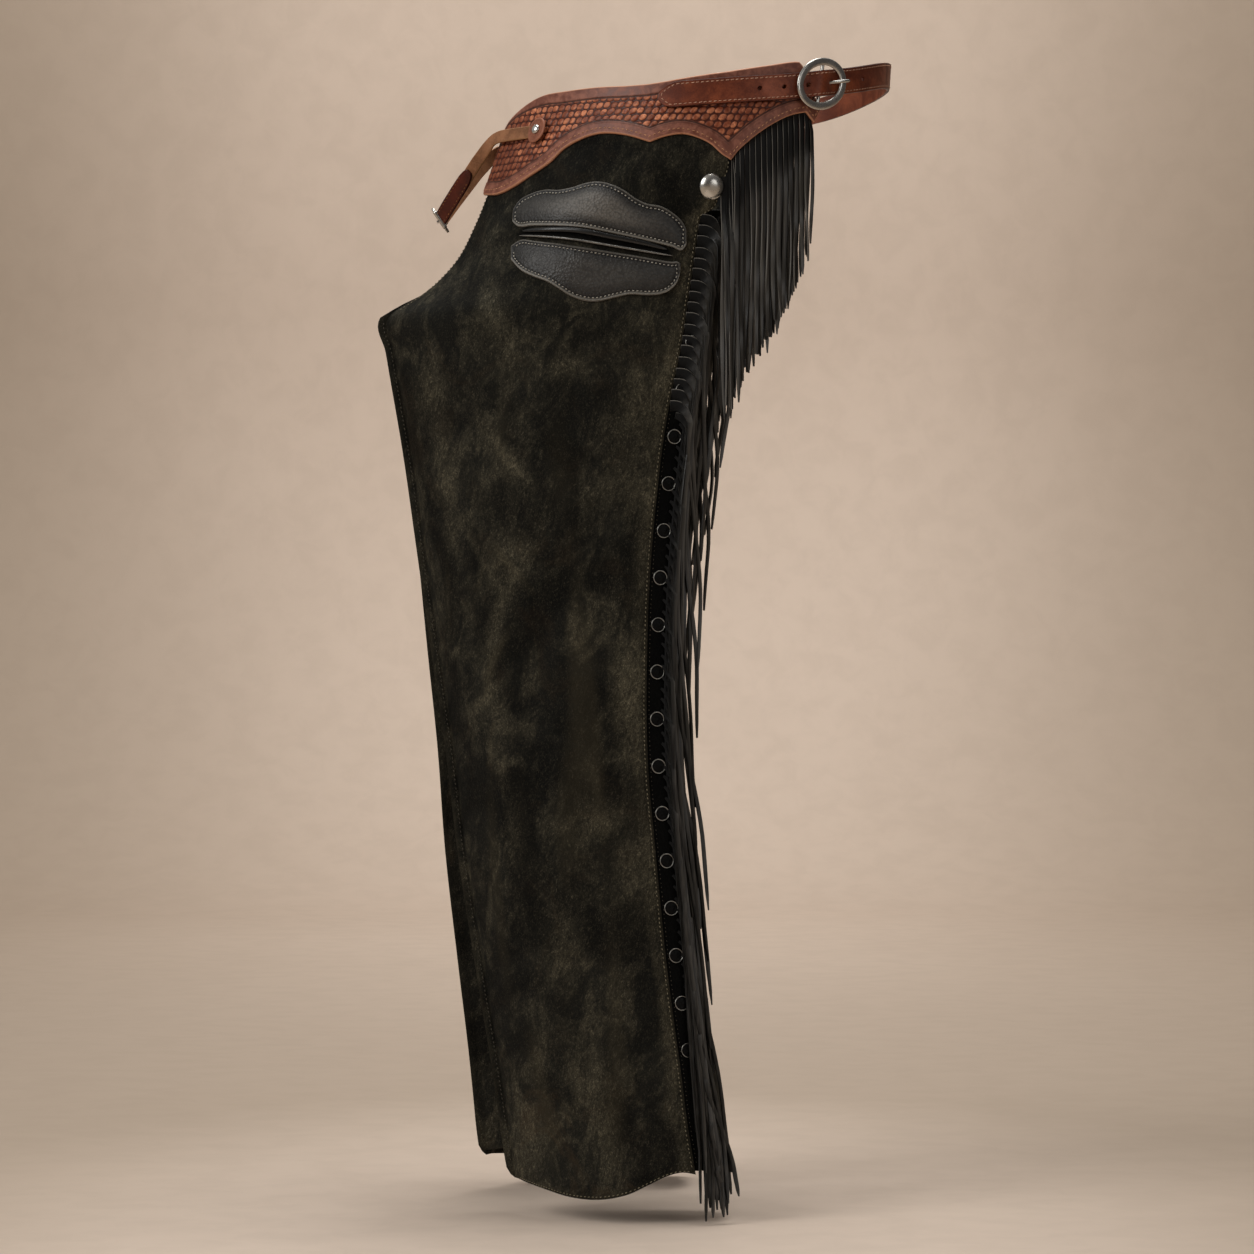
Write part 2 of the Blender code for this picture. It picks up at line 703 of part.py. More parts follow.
def belt_angle(run):
    rows = belt_plan()
    k = 0
    while k < len(rows) - 2 and rows[k + 1][0] < run:
        k += 1
    return mix(rows[k][1], rows[k + 1][1], (run - rows[k][0]) / (rows[k + 1][0] - rows[k][0]))


def belt_point(run, offset, rise=0.0):
    """Point over the belt's middle line, or a rise above it."""
    z = along(BELT_RISE, "at", "z", run) + rise
    point, out = ring_place(belt_angle(run), z)
    return point + out * offset


def belt_out(run):
    return (belt_point(run, 1) - belt_point(run, 0)).normalized()


def belt_rest(run):
    """The belt's inner face is lifted where it passes over the buckle's bar."""
    return BELT_REST + BELT_LIFT * math.exp(-((run - BUCKLE_AT) / BELT_LIFT_REACH) ** 2)


def belt_strap():
    solid = Solid()
    length = belt_plan()[-1][0]
    stations = dict(BELT_TIP)
    for at in HOLES_AT:
        stations[at - HOLE / 2] = BELT_HALF
        stations[at + HOLE / 2] = BELT_HALF
    for at in (30, 45, 58, 72, 97, 118, 135, BUCKLE_AT, 161, 183):
        stations[float(at)] = BELT_HALF
    for k in range(19):
        stations[mix(204, length, k / 18)] = BELT_HALF
    runs = sorted(stations)
    holes = [(1, runs.index(at - HOLE / 2)) for at in HOLES_AT]
    outer = []
    inner = []
    for share in (1, 0, 0, -1):
        row_out = []
        row_in = []
        for run in runs:
            rise = share * stations[run]
            if share == 0:
                rise = min(HOLE / 2, stations[run] * 0.4) * (1 if len(outer) == 1 else -1)
            base = belt_rest(run)
            row_out.append(belt_point(run, base + BELT_THICK, rise))
            row_in.append(belt_point(run, base, rise))
        outer.append(row_out)
        inner.append(row_in)
    solid.wall(outer, inner, holes=holes)
    finish("belt_strap", solid, BELT)


# Rear buckle: an oval ring over the belt and a bar under it
RING_WIDE = 23.0
RING_HIGH = 20.0
RING_RIM = 6.0
RING_THICK = 2.8
RING_AT = 8.8
BAR_RADIUS = 1.7
BAR_AT = 7.7


def rear_buckle():
    solid = Solid()
    stations = []
    count = 20
    ahead = Vector((0, 0, 1)).cross(belt_out(BUCKLE_AT))
    up = (belt_point(BUCKLE_AT, 0, BELT_HALF) - belt_point(BUCKLE_AT, 0, -BELT_HALF)).normalized()
    out = ahead.cross(up)
    centre = belt_point(BUCKLE_AT, 0) + out * (RING_AT + RING_THICK / 2)
    for k in range(count):
        turn = 2 * math.pi * k / count
        spoke = ahead * (RING_WIDE * math.cos(turn)) + up * (RING_HIGH * math.sin(turn))
        wide = spoke.normalized() * (RING_RIM / 2)
        stations.append((centre + spoke, wide, out * (RING_THICK / 2)))
    solid.loop(stations)
    ring = finish("buckle_ring", solid, NICKEL)
    bar = Solid()
    profile = ((BAR_RADIUS, -RING_HIGH - 1.0), (BAR_RADIUS, RING_HIGH + 1.0))
    bar.turned(belt_point(BUCKLE_AT, 0) + out * BAR_AT, up, profile, 8)
    guide = finish("buckle_bar_guide", bar, NICKEL)
    guide.hide_render = True
    guide.hide_set(True)
    guide.display_type = "WIRE"
    union = ring.modifiers.new("bar", "BOOLEAN")
    union.operation = "UNION"
    union.solver = "EXACT"
    union.object = guide


def rear_prong():
    """Comes up through the belt's hole and lies on the ring's rear rim."""
    solid = Solid()
    path = []
    for ahead, offset, half in ((8.6, 8.4, 1.0), (13, 12.0, 1.2), (18.5, 14.2, 1.2), (26, 15.4, 1.2)):
        run = BUCKLE_AT + ahead
        out = belt_out(run)
        thick = out * 0.9
        if offset < 9:
            thick = (out - Vector((0, 0, 1)).cross(out) * 0.8).normalized() * 0.7
        path.append((belt_point(run, offset), Vector((0, 0, half)), thick))
    first = path[0]
    corners = (first[1] + first[2], first[2] - first[1], -first[1] - first[2], first[1] - first[2])
    ring = [solid.add(first[0] + corner) for corner in corners]
    solid.faces.append(list(reversed(ring)))
    solid.strand(ring, path[1:])
    finish("buckle_prong", solid, NICKEL)


CHAPE_HALF = 6.8


def chape():
    """Leather tab from behind the yoke's rear end, hooked round the bar."""
    solid = Solid()
    path = ((-38, -2.7, -0.4), (-22, -2.7, -0.4), (-3.5, -2.7, -0.4), (0, -0.4, 2.0),
            (3.5, 1.8, 4.2), (6.5, 3.0, 5.4))
    outer = [[belt_point(BUCKLE_AT + a, h, s * CHAPE_HALF) for a, _, h in path] for s in (1, -1)]
    inner = [[belt_point(BUCKLE_AT + a, h, s * CHAPE_HALF) for a, h, _ in path] for s in (1, -1)]
    solid.wall(outer, inner)
    finish("buckle_chape", solid, BELT)


# Front strap, which sags between the two yokes, and its billet and roller buckle
Station = namedtuple("Station", "x y z tilt")
STRAP_HALF = 5.8
STRAP_THICK = 2.2
Laid = namedtuple("Laid", "y z lift")
STRAP_ON_YOKE = (
    Laid(-146, -32.5, 0), Laid(-158, -33.5, 0.2), Laid(-169, -34, 0.5), Laid(-178, -34.5, 1.2),
    Laid(-186, -36, 2.6),
)
STRAP_FREE = (
    Station(54, -197, -40, 0.15), Station(47, -204.5, -45, 0.25), Station(37, -213, -56, 0.4),
    Station(27, -223, -70, 0.5), Station(17, -233, -86, 0.56), Station(8, -240.5, -98.5, 0.59),
    Station(0, -243.5, -104, 0.59),
)


def strap_line():
    """Centre points and width directions from the left rivet to the middle."""
    rest = YOKE_REST + YOKE_THICK + 2 * GAP + STRAP_THICK / 2
    line = []
    for y, z, lift in STRAP_ON_YOKE:
        angle = angle_at(y, z)
        wide = lay(angle, z - STRAP_HALF, rest) - lay(angle, z + STRAP_HALF, rest)
        line.append((lay(angle, z, rest + lift), wide.normalized()))
    for s in STRAP_FREE:
        line.append((Vector((s.x, s.y, s.z)), Vector((0, math.sin(s.tilt), -math.cos(s.tilt)))))
    return line


def flipped(vector):
    return Vector((-vector.x, vector.y, vector.z))


def strap_frames(line):
    """Each station with its width and its outward direction."""
    frames = []
    for k, (point, wide) in enumerate(line):
        ahead = line[min(k + 1, len(line) - 1)][0] - line[max(k - 1, 0)][0]
        out = ahead.cross(wide).normalized()
        frames.append((point, wide, out))
    return frames


def whole_strap():
    left = strap_line()
    right = [(flipped(p), flipped(w)) for p, w in reversed(left[:-1])]
    return strap_frames(left + right)


def front_strap():
    solid = Solid()
    frames = whole_strap()
    outer = [[p + w * (s * STRAP_HALF) + n * (STRAP_THICK / 2) for p, w, n in frames] for s in (1, -1)]
    inner = [[p + w * (s * STRAP_HALF) - n * (STRAP_THICK / 2) for p, w, n in frames] for s in (1, -1)]
    solid.wall(outer, inner)
    finish("front_strap", solid, TAN)


BILLET_HALF = (3.6, 6.6, 6.8, 6.8, 6.8, 6.8)
BILLET_THICK = 2.4


def front_billet():
    solid = Solid()
    middle = len(strap_line()) - 1
    frames = whole_strap()[middle - 4:middle + 2]
    low = STRAP_THICK / 2 + GAP
    high = low + BILLET_THICK
    outer = [[p + w * (s * h) + n * high for (p, w, n), h in zip(frames, BILLET_HALF)] for s in (1, -1)]
    inner = [[p + w * (s * h) + n * low for (p, w, n), h in zip(frames, BILLET_HALF)] for s in (1, -1)]
    solid.wall(outer, inner)
    finish("front_billet", solid, DARK_BROWN)


FRAME_HALF_LONG = 12.2
FRAME_HALF_SHORT = 7.0
WIRE = 1.3
FRAME_AT = 2.0
FRAME_PRONG_AT = 4.9


def front_buckle():
    solid = Solid()
    middle = len(strap_line()) - 1
    point, wide, out = whole_strap()[middle]
    centre = point + out * FRAME_AT
    level = Vector((1, 0, 0))
    stations = []
    for k in range(12):
        turn = 2 * math.pi * (k + 0.5) / 12
        c = math.copysign(abs(math.cos(turn)) ** 0.45, math.cos(turn))
        s = math.copysign(abs(math.sin(turn)) ** 0.45, math.sin(turn))
        spoke = level * (FRAME_HALF_SHORT * c) + wide * (FRAME_HALF_LONG * s)
        stations.append((centre + spoke, spoke.normalized() * WIRE, out * WIRE))
    solid.loop(stations)
    finish("front_buckle", solid, NICKEL)
    prong = Solid()
    thick = out * 0.8
    side = wide * 1.0
    start = point + out * FRAME_PRONG_AT - level * (FRAME_HALF_SHORT + 2.2)
    end = point + out * FRAME_PRONG_AT + level * (FRAME_HALF_SHORT + 2.2)
    corners = (side + thick, thick - side, -side - thick, side - thick)
    ring = [prong.add(start + corner) for corner in corners]
    prong.faces.append(list(reversed(ring)))
    prong.strand(ring, [(end, side, thick)])
    finish("front_prong", prong, NICKEL)


TAB_Y = -148.0
TAB_Z = -32.5


def strap_tab(side, tag):
    base = YOKE_REST + YOKE_THICK + 3 * GAP + STRAP_THICK
    solid = Solid()
    low = on_skin(TAB_Y, TAB_Z, base)
    axis = on_skin(TAB_Y, TAB_Z, base + 1) - low
    solid.turned(low, axis, ((9.6, 0.3), (10.0, 1.2), (9.2, 2.2)), 12, 1.15)
    finish("strap_tab_" + tag, solid, STAMPED, side)
    profile = ((4.0, 0), (4.4, 0.8), (3.4, 2.2), (1.6, 2.9))
    stud("strap_rivet_" + tag, TAB_Y, TAB_Z, base + 2.5, profile, 8, side)


def main():
    for item in list(bpy.data.objects):
        bpy.data.objects.remove(item, do_unlink=True)
    for side, tag in ((1, "left"), (-1, "right")):
        leg_front(side, tag)
        leg_back(side, tag)
        yoke(side, tag)
        placket(side, tag)
        side_fringe(side, tag)
        yoke_fringe(side, tag)
        patch("pocket_upper_" + tag, UPPER_PATCH, side)
        patch("pocket_lower_" + tag, LOWER_PATCH, side)
        welt("welt_upper_" + tag, UPPER_WELT, side)
        welt("welt_lower_" + tag, LOWER_WELT, side)
        concho(side, tag)
        snaps(side, tag)
        strap_tab(side, tag)
    belt_strap()
    rear_buckle()
    rear_prong()
    chape()
    front_strap()
    front_billet()
    front_buckle()


main()
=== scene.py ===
"""Looks of the leather chaps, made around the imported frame.

Lengths are in millimetres up to the point where a mesh is made, in metres.
+Z is up, the wearer's front is -Y and the wearer's left is +X. Every leg piece
is drawn for the left leg, and the right leg is its mirror image, swung a little
forward below the thigh.
"""

import math
from collections import namedtuple

import bmesh
import bpy
import numpy as np
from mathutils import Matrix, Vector
from mathutils.kdtree import KDTree


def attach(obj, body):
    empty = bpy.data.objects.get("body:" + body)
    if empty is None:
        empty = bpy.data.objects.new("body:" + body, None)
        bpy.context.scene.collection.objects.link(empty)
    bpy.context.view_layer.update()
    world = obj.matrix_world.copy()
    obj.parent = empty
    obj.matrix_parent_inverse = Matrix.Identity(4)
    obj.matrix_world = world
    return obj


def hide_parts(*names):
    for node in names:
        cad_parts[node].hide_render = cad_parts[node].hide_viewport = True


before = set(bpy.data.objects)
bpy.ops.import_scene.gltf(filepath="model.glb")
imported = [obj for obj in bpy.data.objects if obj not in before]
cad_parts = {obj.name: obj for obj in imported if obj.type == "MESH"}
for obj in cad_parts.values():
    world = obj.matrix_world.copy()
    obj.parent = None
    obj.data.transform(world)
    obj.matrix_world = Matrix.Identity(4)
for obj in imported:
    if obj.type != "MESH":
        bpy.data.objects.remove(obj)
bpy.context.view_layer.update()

MM = 0.001
GAP = 0.3
SEAM_GAP = 0.06

# Leather thicknesses, as in the solids
FRONT_THICK = 2.0
BACK_THICK = 1.8
PLACKET_THICK = 1.7
YOKE_THICK = 3.0
PATCH_THICK = 2.0
BELT_THICK = 3.0
YOKE_REST = 0.5
PATCH_REST = 0.7

# Shape of the leg sections
NOSE_POWER = 0.8
NOSE_START = math.acos(0.97)
FLANGE = 7.0
SWING = 0.05
SWING_TOP = -343.0
ROUND = 115.0

Section = namedtuple("Section", "z front back nose_x tail_x outer_x inner_x power")
SECTIONS = (
    Section(60, -166, 161, 52, 0, 158, 0, 2.2),
    Section(30, -169, 160, 52, 0, 159, 0, 2.2),
    Section(0, -174, 157, 52, 0, 160, 0, 2.2),
    Section(-27, -183, 150, 52, 5, 165, 5, 2.2),
    Section(-55, -193, 118, 50, 35, 168, 10, 2.4),
    Section(-83, -203, 72, 48, 66, 168, 16, 2.8),
    Section(-111, -214, 28, 46, 86, 167, 20, 3.4),
    Section(-144, -232, 23, 44, 94, 166, 22, 4.0),
    Section(-172, -260, 18, 42, 96, 166, 24, 4.0),
    Section(-193, -289, 15, 41, 97, 166, 24, 4.0),
    Section(-225, -284, 11, 42, 99, 166, 26, 4.0),
    Section(-315, -268.5, -5, 46, 103, 168, 31, 4.0),
    Section(-405, -255.5, -15, 51, 107, 170, 36, 4.0),
    Section(-495, -242.5, -19, 57, 111, 174, 41, 4.0),
    Section(-585, -229, -18, 64, 116, 178, 48, 4.0),
    Section(-680, -217.5, -11, 71, 121, 182, 56, 4.0),
    Section(-780, -201.5, 0, 80, 127, 187, 64, 4.0),
    Section(-880, -185, 13, 89, 133, 192, 71, 4.0),
    Section(-960, -174, 24, 96, 138, 196, 76, 4.0),
    Section(-1000, -170, 30, 99, 140, 198, 78, 4.0),
)

Edge = namedtuple("Edge", "z y")
CROTCH_CURVE = (
    Edge(-60, -193), Edge(-83, -201), Edge(-121, -215), Edge(-144, -230),
    Edge(-160, -245), Edge(-172, -259), Edge(-184, -281), Edge(-193, -296),
)
SEAM = (
    Edge(-60, -1), Edge(-95, -5), Edge(-111, -8), Edge(-176, -17.6),
    Edge(-225, -25), Edge(-273, -34.8), Edge(-313, -41.4), Edge(-354, -46.2),
    Edge(-394, -50.1), Edge(-448, -53.7), Edge(-500, -55.2), Edge(-552, -55.6),
    Edge(-605, -53.7), Edge(-659, -48.8), Edge(-710, -44), Edge(-763, -38.7),
    Edge(-816, -32), Edge(-863, -25.5), Edge(-905, -20.3), Edge(-953, -12.4),
    Edge(-1000, -5),
)
SHOULDER = (
    Edge(-40, 15), Edge(-60, 16.5), Edge(-73, 14.9), Edge(-88, 8.9),
    Edge(-103, 4.4), Edge(-111.5, -8),
)
SHOULDER_LOW = -111.5
Hem = namedtuple("Hem", "y z")
HEM = (
    Hem(-190, -962), Hem(-175, -966), Hem(-146, -972), Hem(-123, -976.5),
    Hem(-98, -976.6), Hem(-73, -971), Hem(-54, -962), Hem(-37, -954),
    Hem(-24, -951), Hem(-8, -954),
)

# Soft creases of the worn suede: turn is the angle round the leg, lean how far a
# crease runs sideways for each millimetre up, deep is negative for a trough
Crease = namedtuple("Crease", "turn z lean long wide deep")
CREASES = (
    Crease(1.22, -418, -0.75, 38, 9, 1.7), Crease(1.12, -484, 0.72, 60, 11, 2.0),
    Crease(1.42, -455, 0.35, 70, 16, -1.6), Crease(0.92, -430, 0.15, 95, 17, -1.8),
    Crease(1.20, -305, 0.12, 75, 12, 1.3), Crease(0.80, -300, 0.18, 90, 16, -1.4),
    Crease(1.62, -350, -0.10, 120, 20, 1.2), Crease(1.50, -640, 0.20, 120, 18, 1.5),
    Crease(1.10, -610, 0.10, 130, 20, -1.8), Crease(1.75, -560, -0.06, 110, 14, 1.6),
    Crease(0.75, -690, 0.12, 150, 16, 1.5), Crease(1.30, -790, -0.10, 100, 22, -1.7),
    Crease(1.72, -800, 0.08, 110, 15, 1.2), Crease(0.90, -880, -0.05, 90, 16, 1.4),
    Crease(1.50, -900, 0.06, 80, 18, 1.3), Crease(0.60, -420, 0.22, 110, 13, 1.2),
    Crease(3.60, -400, 0.30, 60, 12, 1.9), Crease(3.95, -455, -0.35, 55, 13, -2.0),
    Crease(4.40, -430, 0.50, 50, 11, 1.8), Crease(4.10, -360, 0.20, 70, 16, -1.6),
    Crease(3.80, -560, 0.10, 110, 16, 1.6), Crease(4.70, -560, -0.12, 120, 18, -1.9),
    Crease(4.30, -690, 0.08, 130, 17, 1.8), Crease(5.20, -480, 0.15, 120, 16, 1.4),
    Crease(3.55, -760, 0.05, 110, 13, -1.3), Crease(4.90, -820, -0.08, 100, 18, 1.7),
    Crease(4.20, -870, 0.05, 80, 20, -1.6), Crease(5.30, -700, 0.05, 120, 15, -1.4),
    Crease(4.60, -270, 0.20, 60, 18, 1.5), Crease(5.30, -290, -0.15, 60, 14, 1.3),
)


def along(table, key, name, at):
    """Values of a named column at places in another, on a curve without kinks."""
    rows = sorted(table, key=lambda row: getattr(row, key))
    xs = np.array([getattr(row, key) for row in rows], float)
    ys = np.array([getattr(row, name) for row in rows], float)
    chords = np.diff(ys) / np.diff(xs)
    slopes = np.concatenate(([chords[0]], 0.5 * (chords[:-1] + chords[1:]), [chords[-1]]))
    at = np.clip(np.asarray(at, float), xs[0], xs[-1])
    k = np.clip(np.searchsorted(xs, at, side="right") - 1, 0, len(xs) - 2)
    width = xs[k + 1] - xs[k]
    t = (at - xs[k]) / width
    value = (1 + 2 * t) * (1 - t) ** 2 * ys[k] + t * t * (3 - 2 * t) * ys[k + 1]
    return value + width * (t * (1 - t) ** 2 * slopes[k] - t * t * (1 - t) * slopes[k + 1])


def mix(a, b, t):
    return a + (b - a) * t


def ease(x):
    t = np.clip(x, 0, 1)
    return t * t * (3 - 2 * t)


def bell(x, middle, reach):
    return np.exp(-((x - middle) / reach) ** 2)


def unit(vectors):
    return vectors / np.maximum(np.linalg.norm(vectors, axis=-1, keepdims=True), 1e-9)


def wobble(number, seed):
    """Repeatable values between -1 and 1."""
    return np.sin(number * 12.99 + seed * 78.23) * np.cos(number * 4.13 + seed)


def stack(x, y, z):
    return np.stack(np.broadcast_arrays(x, y, z), axis=-1).astype(float)


def circle(count):
    """Angles at even steps round a circle."""
    return 2 * np.pi * np.arange(count) / count


def run_along(points):
    """Length of a line of points up to each of them."""
    return np.concatenate(([0], np.cumsum(np.linalg.norm(np.diff(points, axis=0), axis=1))))


def sampled(at, run, rows):
    """Rows of values at places along a run."""
    return np.stack([np.interp(at, run, column) for column in rows.T], axis=-1)


def skin(angle, z):
    """Points of the leg's outer surface: angle 0 is its nose, pi its tail, and the
    outer side lies between them."""
    angle, z = np.broadcast_arrays(np.asarray(angle, float), np.asarray(z, float))
    cut = Section(z, *(along(SECTIONS, "z", name, z) for name in Section._fields[1:]))
    middle = 0.5 * (cut.front + cut.back)
    half = 0.5 * (cut.back - cut.front)
    place = -np.cos(angle)
    nose = np.maximum(0, 1 - place ** 2) ** NOSE_POWER
    tail = np.maximum(0, 1 - np.abs(place) ** cut.power) ** (1 / cut.power)
    bulge = np.where(place < 0, nose, tail)
    base = np.where(place < 0, cut.nose_x, cut.tail_x)
    reach = np.where(np.sin(angle) >= 0, cut.outer_x, cut.inner_x)
    return stack(base + (reach - base) * bulge, middle + half * place, z)


def angle_at(y, z):
    front = along(SECTIONS, "z", "front", z)
    back = along(SECTIONS, "z", "back", z)
    place = (y - 0.5 * (front + back)) / (0.5 * (back - front))
    return np.arccos(-np.clip(place, -0.995, 0.995))


def seam(z):
    return along(SEAM, "z", "y", z)


def rear_edge(z):
    return np.where(z > SHOULDER_LOW, along(SHOULDER, "z", "y", z), seam(z))


def crease(angle, z):
    """How far the suede stands out from its plain form, fading to none at its seams."""
    total = np.zeros(np.broadcast(angle, z).shape)
    for c in CREASES:
        across = (angle - c.turn) * ROUND - c.lean * (z - c.z)
        total = total + c.deep * np.exp(-(across / c.wide) ** 2 - ((z - c.z) / c.long) ** 2)
    side = angle_at(seam(z), z)
    front = ease((angle - NOSE_START) * ROUND / 14) * ease((side - angle) * ROUND / 24)
    back = ease((angle - math.pi) * ROUND / 24) * ease((2 * math.pi - NOSE_START - angle) * ROUND / 14)
    return total * (front + back) * ease((-z - 110) / 90)


def lay(angle, z, offset):
    """Points at a distance out from the creased skin."""
    angle, z = np.broadcast_arrays(np.asarray(angle, float), np.asarray(z, float))
    around = skin(angle + 0.01, z) - skin(angle - 0.01, z)
    upward = skin(angle, z + 1) - skin(angle, z - 1)
    out = unit(np.cross(around, upward))
    away = np.asarray(offset) + crease(angle, z)
    return skin(angle, z) + out * np.broadcast_to(away, angle.shape)[..., None]


def on_skin(y, z, offset):
    return lay(angle_at(y, z), z, offset)


def placed(points, side):
    """Points in metres on the left or the right leg; side 0 is for shared pieces."""
    points = np.array(points, float).reshape(-1, 3)
    if side < 0:
        points[:, 1] -= SWING * np.maximum(0, SWING_TOP - points[:, 2])
        points[:, 0] *= -1
    return points * MM


def in_scene(name, data):
    item = bpy.data.objects.new(name, data)
    bpy.context.scene.collection.objects.link(item)
    return item


def make(name, points, faces, look, side=0, values=None, sharp=38):
    """A closed piece, with its faces pointing out, that rides on the frame."""
    mesh = bpy.data.meshes.new(name)
    mesh.from_pydata(placed(points, side).tolist(), [], faces)
    for key, value in (values or {}).items():
        mesh.attributes.new(key, "FLOAT", "POINT").data.foreach_set("value", value.astype(np.float32))
    work = bmesh.new()
    work.from_mesh(mesh)
    if work.calc_volume(signed=True) < 0:
        bmesh.ops.reverse_faces(work, faces=work.faces)
    work.to_mesh(mesh)
    work.free()
    mesh.shade_smooth()
    mesh.set_sharp_from_angle(angle=math.radians(sharp))
    mesh.materials.append(look)
    piece = in_scene(name, mesh)
    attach(piece, "root")
    return piece


def fit(piece):
    """Put a piece in the place of the node that it is named after."""
    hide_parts(piece.name.removeprefix("look_"))
    return piece


def shell(name, outer, inner, look, side=0, keep=None, values=None, sharp=38):
    """A wall between two grids of points, made of the cells that keep marks."""
    rows, cols = outer.shape[:2]
    count = rows * cols
    index = np.arange(count).reshape(rows, cols)
    if keep is None:
        keep = np.ones((rows - 1, cols - 1), bool)
    padded = np.pad(keep, 1)
    corners = np.stack([index[:-1, :-1], index[1:, :-1], index[1:, 1:], index[:-1, 1:]], axis=-1)
    beyond = (padded[1:-1, :-2], padded[2:, 1:-1], padded[1:-1, 2:], padded[:-2, 1:-1])
    faces = [corners[keep], corners[keep][:, ::-1] + count]
    for k in range(4):
        rim = keep & ~beyond[k]
        a = corners[rim][:, k]
        b = corners[rim][:, (k + 1) % 4]
        faces.append(np.stack([b, a, a + count, b + count], axis=-1))
    faces = np.concatenate(faces)
    points = np.concatenate([outer.reshape(-1, 3), inner.reshape(-1, 3)])
    used, faces = np.unique(faces, return_inverse=True)
    faces = faces.reshape(-1, 4)
    kept = {key: np.concatenate([v.ravel(), np.zeros(count)])[used] for key, v in (values or {}).items()}
    return make(name, points[used], faces.tolist(), look, side, kept, sharp)


def distance_to(points, grid):
    """Distance of each point of a grid from the nearest of some points."""
    tree = KDTree(len(points))
    for k, point in enumerate(points):
        tree.insert(point, k)
    tree.balance()
    return np.array([tree.find(point)[2] for point in grid.reshape(-1, 3)]).reshape(grid.shape[:2])


def edge_distance(grid):
    """Distance of each point of a grid from the grid's outline."""
    return distance_to(np.concatenate([grid[0], grid[-1], grid[:, 0], grid[:, -1]]), grid)


def rounded_edge(distance, radius):
    """How far a cut edge drops at a distance from its outline."""
    inward = np.clip(radius - distance, 0, radius)
    return np.sqrt(radius ** 2 - inward ** 2) - radius


def walls(index):
    """Faces between rings of points. The index counts rings, then points in a ring."""
    after = np.roll(index, -1, axis=-1)
    corners = (index[..., :-1, :], after[..., :-1, :], after[..., 1:, :], index[..., 1:, :])
    return np.stack(corners, axis=-1).reshape(-1, 4)


def rod_faces(rings, sides):
    """Faces of a row of rings with both ends closed."""
    index = np.arange(rings * sides).reshape(rings, sides)
    return walls(index).tolist() + [index[0][::-1].tolist(), index[-1].tolist()]


def hoop_faces(rings, sides):
    """Faces of a row of rings that meets its own start."""
    index = np.arange(rings * sides).reshape(rings, sides)
    return walls(np.concatenate([index, index[:1]])).tolist()


# A flat strand's section: its corners across and through, and how much painted shade each takes
Corner = namedtuple("Corner", "across through dusk")
STRAND_SECTION = (
    Corner(-1.0, 0.0, 1.0), Corner(-0.86, 1.0, 0.8), Corner(0.86, 1.0, 0.0),
    Corner(1.0, 0.0, 0.0), Corner(0.86, -1.0, 0.0), Corner(-0.86, -1.0, 0.8),
)
TIP_WIDTHS = (1.0, 0.8, 0.3)
ROOT_FACES = ((0, 3, 2, 1), (0, 5, 4, 3))
TIP_FACES = ((0, 1, 2, 3), (0, 3, 4, 5))


def ribbons(name, centre, wide, out, half, thick, look, side):
    """Flat strands of leather: arrays over (strand, station)."""
    strands, stations = half.shape
    last = stations - 1
    half = half * np.interp(np.arange(stations), (last - 3, last - 1, last), TIP_WIDTHS)
    ring = [centre + wide * (half * corner.across)[..., None] + out * (thick * corner.through)
            for corner in STRAND_SECTION]
    points = np.stack(ring, axis=2)
    index = np.arange(points[..., 0].size).reshape(points.shape[:3])
    faces = [walls(index)]
    faces += [index[:, 0, list(order)] for order in ROOT_FACES]
    faces += [index[:, -1, list(order)] for order in TIP_FACES]
    values = {
        "length": np.linspace(0, 1, stations)[None, :, None],
        "tone": wobble(np.arange(strands), 5)[:, None, None] * 0.5 + 0.5,
        # Painted highlight along one edge of each strand
        "edge": np.array([float(corner.across == 1) for corner in STRAND_SECTION]),
        "dusk": np.array([corner.dusk for corner in STRAND_SECTION]),
    }
    values = {key: np.broadcast_to(value, index.shape).ravel() for key, value in values.items()}
    return make(name, points.reshape(-1, 3), np.concatenate(faces).tolist(), look, side, values, sharp=50)


def tube(name, path, wide, out, radii, look, side=0, sides=10, closed=False):
    """A rod with an oval section along a path. Radii are (across, through)."""
    wide, out = (np.broadcast_to(way, path.shape)[:, None] for way in (wide, out))
    across, through = (np.broadcast_to(radius, len(path))[:, None, None] for radius in radii)
    turn = circle(sides)[:, None]
    points = path[:, None] + wide * (np.cos(turn) * across) + out * (np.sin(turn) * through)
    faces = hoop_faces(len(path), sides) if closed else rod_faces(len(path), sides)
    return make(name, points.reshape(-1, 3), faces, look, side, sharp=60)


def lathe(name, centre, axis, profile, sides, look, side=0, stretch=1.0):
    """A turned piece of (radius, height) rings, closed in the middle. Stretch
    lengthens it along Z."""
    axis = unit(np.asarray(axis, float))
    level = unit(np.cross(axis, (0, 0, 1)))
    rise = np.cross(level, axis)
    turn = circle(sides)[:, None]
    spokes = level * np.cos(turn) + rise * (stretch * np.sin(turn))
    rings = [centre + spokes * r + axis * h for r, h in profile]
    return make(name, np.concatenate(rings), rod_faces(len(profile), sides), look, side, sharp=80)


def join(name, pieces):
    """One object from several, each with its own look."""
    merged = bmesh.new()
    looks = []
    indices = []
    for piece in pieces:
        for look in piece.data.materials:
            if look not in looks:
                looks.append(look)
        places = np.array([looks.index(look) for look in piece.data.materials], np.int32)
        own = np.zeros(len(piece.data.polygons), np.int32)
        piece.data.polygons.foreach_get("material_index", own)
        indices.append(places[own])
        merged.from_mesh(piece.data)
    target = pieces[0]
    merged.to_mesh(target.data)
    merged.free()
    target.data.materials.clear()
    for look in looks:
        target.data.materials.append(look)
    target.data.polygons.foreach_set("material_index", np.concatenate(indices))
    for piece in pieces[1:]:
        bpy.data.objects.remove(piece, do_unlink=True)
    target.name = name
    return target


